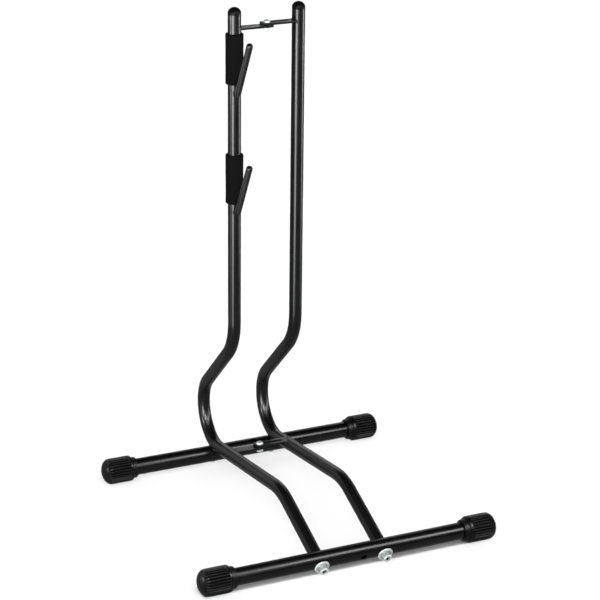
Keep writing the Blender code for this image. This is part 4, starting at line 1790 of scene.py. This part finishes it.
    def rear(self, side: Side) -> None:
        """Build and dress one screw of the rear bar, with its hidden nut.

        Args:
            side: The side.
        """
        x = self.layout.side_x(side)
        down = self.route.seat_tilt + math.pi
        seat = self.route.bar_radius + GAP
        zinc = ZINC.material(self.route.on_seat(0.0, x, self.layout), down)
        screw = ButtonScrew().mesh(self.rear_length, self.rear_thread)
        screw.transform(standing(self.route.on_seat(self.play - seat, x, self.layout), down))
        show(f"rear_button_screw_{side.word}", screw, zinc, ZINC.slot,
             [f"rear_bolt_{side.word}"])
        self.plate(f"rivet_nut_{side.word}", zinc)

    def plate(self, name: str, material: bpy.types.Material) -> None:
        """Give a hidden CAD node its finish.

        Args:
            name: The node's name.
            material: The finish.
        """
        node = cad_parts[name]
        node.data.materials.clear()
        node.data.materials.append(material)


def aimed(azimuth: float, elevation: float) -> Vector:
    """Return the direction to an azimuth and an elevation in degrees.

    Args:
        azimuth: 0 is in front of the stand and 90 on its right.
        elevation: The angle above the horizon.

    Returns:
        The direction, of length 1.
    """
    a, e = math.radians(azimuth), math.radians(elevation)
    return Vector((math.sin(a) * math.cos(e), -math.cos(a) * math.cos(e), math.sin(e)))


# Softboxes hang this far from the middle of the stand.
LIGHT_REACH = 1.5
STRIP_SIZE = (0.26, 0.25)
MIDDLE = (0.0, 0.0, 0.35)
RIGHT_CAPS = ("ribbed_cap_front_right", "ribbed_cap_rear_right")
CAPS = ("ribbed_cap_front_left", "ribbed_cap_rear_left", *RIGHT_CAPS)


@dataclass(frozen=True)
class Softbox:
    """A rectangular soft light for the whole stand, for some pieces only or for the rest."""

    place: Triple
    size: Pair
    radiance: float
    facing: Triple
    only: Tuple[str, ...] = ()
    spares: Tuple[str, ...] = ()

    @classmethod
    def strip(cls, azimuth: float, height: float, radiance: float,
              spares: Tuple[str, ...] = CAPS) -> "Softbox":
        """Return one box of an upright strip of light that the tubes mirror."""
        place = aimed(azimuth, 0.0) * LIGHT_REACH
        return cls((place.x, place.y, height), STRIP_SIZE, radiance, (0.0, 0.0, height),
                   spares=spares)

    @classmethod
    def panel(cls, azimuth: float, elevation: float, size: Pair, radiance: float) -> "Softbox":
        """Return a panel that faces the middle of the stand."""
        middle = Vector(MIDDLE)
        return cls(tuple(middle + aimed(azimuth, elevation) * LIGHT_REACH), size, radiance,
                   tuple(middle))

    def hang(self, name: str) -> bpy.types.Object:
        """Make the light.

        Args:
            name: The light's name.

        Returns:
            The light.
        """
        data = bpy.data.lights.new(name, "AREA")
        data.shape = "RECTANGLE"
        data.size, data.size_y = self.size
        data.energy = math.pi * self.size[0] * self.size[1] * self.radiance
        lamp = bpy.data.objects.new(name, data)
        bpy.context.scene.collection.objects.link(lamp)
        lamp.visible_camera = False
        lamp.location = self.place
        lamp.rotation_mode = "QUATERNION"
        away = Vector(self.place) - Vector(self.facing)
        lamp.rotation_quaternion = away.to_track_quat("Z", "Y")
        return lamp


HOOK_ARMS = ("hook_arm_upper", "hook_arm_lower")
SOFTBOXES = (
    Softbox.strip(75, 0.40, 21.1), Softbox.strip(75, 0.15, 13.7), Softbox.strip(75, -0.10, 7.1),
    Softbox.strip(-25, 0.40, 5.3), Softbox.strip(-45, 0.40, 26.0), Softbox.strip(-45, 0.15, 9.2),
    Softbox.strip(-45, -0.10, 11.4), Softbox.strip(-55, 0.40, 20.0),
    Softbox.strip(-55, 0.15, 16.4), Softbox.strip(-55, -0.10, 18.4),
    Softbox.strip(-55, -0.35, 10.4), Softbox.strip(-65, 0.40, 19.0),
    Softbox.strip(-65, 0.15, 8.9), Softbox.strip(-95, 0.40, 35.3, RIGHT_CAPS),
    Softbox.strip(-95, -0.10, 7.7), Softbox.panel(155, 12, (0.70, 0.50), 0.6),
    Softbox.panel(5, 20, (0.55, 0.55), 1.5), Softbox.panel(5, 50, (0.55, 0.55), 3.5),
    Softbox.panel(-30, 50, (0.55, 0.55), 3.8), Softbox.panel(20, 36, (0.45, 0.35), 12.9),
    Softbox((0.55, -0.75, 1.00), (0.35, 0.45), 6.5, MIDDLE),
    Softbox((0.90, -0.90, 0.90), (0.35, 0.45), 11.8, MIDDLE),
    Softbox((-0.62, -0.14, 0.002), (0.95, 0.80), 1.6, (-0.62, -0.13, 1.0), HOOK_ARMS),
    Softbox((-0.86, 0.83, 0.25), (0.80, 0.50), 1.2, (0.0, 0.0, 0.65), HOOK_ARMS),
    Softbox((-0.62, -1.26, 1.05), (1.20, 0.50), 6.0, (0.0, 0.0, 0.70), HOOK_ARMS),
    Softbox((-0.58, -0.98, 0.90), (0.75, 0.40), 22.0, (0.0, 0.15, 0.1)),
)


@dataclass(frozen=True)
class FloorSun:
    """A far light that falls on the floor alone."""

    azimuth: float
    elevation: float
    strength: float
    width: float

    def hang(self, ground: bpy.types.Collection) -> bpy.types.Object:
        """Make the light.

        Args:
            ground: The collection that holds the floor.

        Returns:
            The light.
        """
        name = f"floor_sun_{self.azimuth:.0f}_{self.elevation:.0f}"
        sun = bpy.data.lights.new(name, "SUN")
        sun.energy = self.strength
        sun.angle = math.radians(self.width)
        lamp = bpy.data.objects.new(name, sun)
        bpy.context.scene.collection.objects.link(lamp)
        lamp.rotation_mode = "QUATERNION"
        lamp.rotation_quaternion = aimed(self.azimuth, self.elevation).to_track_quat("Z", "Y")
        lamp.light_linking.receiver_collection = ground
        return lamp


FLOOR_SUNS = (FloorSun(0, 38, 0.78, 45), FloorSun(45, 38, 0.39, 45), FloorSun(90, 38, 0.10, 45),
              FloorSun(135, 38, 0.17, 45), FloorSun(225, 38, 0.22, 45),
              FloorSun(315, 38, 0.86, 45))
CONTACT_SUN = FloorSun(0, 64, 2.25, 20)


@dataclass
class Studio:
    """The camera at the photograph's angle, the pale floor and the soft lights."""

    yaw: float = math.radians(-24.7833)
    pitch: float = math.radians(20.8158)
    roll: float = math.radians(-0.6579)
    lens: float = 129.969
    sensor: float = 36.0
    farthest: float = 200.0
    eye: Triple = (-1.20519, -2.63669, 1.43079)
    pad_radius: float = 0.55
    floor_radius: float = 30.0
    sheet_sides: int = 128
    wall_height: float = 20.0
    mirrored: float = 0.30
    below: float = 0.19
    behind: float = 0.5
    behind_depth: float = 0.4
    behind_height: float = 0.55

    def camera(self) -> None:
        """Make the camera."""
        forward = Vector((-math.sin(self.yaw) * math.cos(self.pitch),
                          math.cos(self.yaw) * math.cos(self.pitch), -math.sin(self.pitch)))
        right = Vector((math.cos(self.yaw), math.sin(self.yaw), 0.0))
        down = forward.cross(right)
        side = math.cos(self.roll) * right + math.sin(self.roll) * down
        low = -math.sin(self.roll) * right + math.cos(self.roll) * down
        lens = bpy.data.cameras.new("camera")
        lens.sensor_width = self.sensor
        lens.lens = self.lens
        lens.clip_end = self.farthest
        camera = bpy.data.objects.new("camera", lens)
        bpy.context.scene.collection.objects.link(camera)
        camera.matrix_world = (Matrix.Translation(self.eye)
                               @ Matrix((side, -low, -forward)).transposed().to_4x4())
        bpy.context.scene.camera = camera

    def sheet(self, name: str, rims: Sequence[Pair],
              material: bpy.types.Material) -> bpy.types.Object:
        """Make one sheet of the studio as a flat disc or a turned strip.

        Args:
            name: The sheet's name.
            rims: (radius, height) of its rims; one rim makes a disc.
            material: Its finish.

        Returns:
            The sheet.
        """
        bm = bmesh.new()
        loops = []
        for radius, height in rims:
            loop = bmesh.ops.create_circle(bm, cap_ends=len(rims) == 1, radius=radius,
                                           segments=self.sheet_sides)["verts"]
            bmesh.ops.translate(bm, vec=(0.0, 0.0, height), verts=loop)
            loops.append(loop)
        for inner, outer in zip(loops, loops[1:]):
            for index in range(self.sheet_sides):
                after = (index + 1) % self.sheet_sides
                bm.faces.new((inner[index], outer[index], outer[after], inner[after]))
        mesh = closed_mesh(bm, name)
        mesh.materials.append(material)
        sheet = bpy.data.objects.new(name, mesh)
        bpy.context.scene.collection.objects.link(sheet)
        sheet.visible_shadow = False
        return sheet

    def glow(self, name: str, strength: float) -> bpy.types.Material:
        """Make a black finish that glows evenly.

        Args:
            name: The finish's name.
            strength: How bright it glows.

        Returns:
            The material.
        """
        bench = MaterialBench(name)
        bench.fix(Specular_IOR_Level=0.0, Emission_Strength=strength)
        bench.shader.inputs["Base Color"].default_value = (0.0, 0.0, 0.0, 1.0)
        bench.shader.inputs["Emission Color"].default_value = (1.0, 1.0, 1.0, 1.0)
        return bench.material

    def floor(self) -> bpy.types.Object:
        """Lay the floor, a dimmer sheet that stands for it in mirrors, and a pale backdrop.

        Returns:
            The floor.
        """
        floor = self.sheet("floor", [(self.floor_radius, 0.0)], FLOOR.material())
        floor.visible_glossy = False
        mirrored = self.sheet("floor_in_mirrors", [(self.pad_radius, 0.0)],
                              self.glow("mirrored_floor", self.mirrored))
        mirrored.visible_camera = mirrored.visible_diffuse = False
        wall = self.sheet("backdrop", [(self.floor_radius, 0.0),
                                       (self.floor_radius, self.wall_height)],
                          self.glow("pale_backdrop", 1.0))
        wall.visible_glossy = wall.visible_diffuse = False
        return floor

    def receivers(self, box: Softbox, floor: bpy.types.Object) -> bpy.types.Collection:
        """List what a soft light falls on, or what it leaves out.

        Args:
            box: The light.
            floor: The floor, which the stand's lights leave out.

        Returns:
            The collection for the light's linking.
        """
        chosen = bpy.data.collections.new("receivers")
        for name in box.only or (floor.name, *box.spares):
            chosen.objects.link(bpy.data.objects[name])
        if not box.only:
            for member in chosen.collection_objects:
                member.light_linking.link_state = "EXCLUDE"
        return chosen

    def lights(self, floor: bpy.types.Object) -> None:
        """Hang the stand's lights and the floor's own lights, which don't mix.

        Args:
            floor: The floor.
        """
        ground = bpy.data.collections.new("ground")
        ground.objects.link(floor)
        for index, box in enumerate(SOFTBOXES):
            lamp = box.hang(f"softbox_{index:02d}")
            lamp.light_linking.receiver_collection = self.receivers(box, floor)
        for sun in FLOOR_SUNS:
            sun.hang(ground)
        shading = bpy.data.collections.new("shading")
        shading.objects.link(bpy.data.objects["black_bar_front"])
        CONTACT_SUN.hang(ground).light_linking.blocker_collection = shading

    def world(self) -> None:
        """Fill the space under the horizon and low behind the stand with dim light."""
        world = bpy.data.worlds.new("studio")
        world.use_nodes = True
        bench = Bench(world.node_tree)
        back = world.node_tree.nodes["Background"]
        place = bench.node("ShaderNodeTexCoord").outputs["Object"]
        _, depth, height = bench.split(place)
        below = height.maths("LESS_THAN", height, 0.0)
        behind = (depth.maths("GREATER_THAN", depth, self.behind_depth)
                  * height.maths("LESS_THAN", height, self.behind_height) * (1.0 - below))
        bench.plug(back.inputs["Strength"], below * self.below + behind * self.behind)
        back.inputs["Color"].default_value = (1.0, 1.0, 1.0, 1.0)
        bpy.context.scene.world = world

    def build(self) -> None:
        """Build the whole studio."""
        bpy.context.scene.view_settings.view_transform = "Standard"
        self.camera()
        self.lights(self.floor())
        self.world()


def main() -> None:
    """Build the stand's pieces and the studio."""
    logging.basicConfig(level=logging.INFO, format="%(name)s %(message)s")
    layout = Layout.read()
    route = TubeRoute()
    flutes = FluteTree()
    welder = Welder(WeldTree(), GREY_COAT.material())
    CrossBars(layout, route).build()
    RibbedCaps(layout, flutes).build()
    SideTubes(layout, route, SweepTree()).build()
    sleeves = FoamSleeves(layout)
    sleeves.build()
    WheelHooks(layout, route, welder, sleeves).build()
    Straps(layout, route, welder).build()
    BarScrews(layout, route, flutes).build()
    Studio().build()


if __name__ == "__main__":
    main()
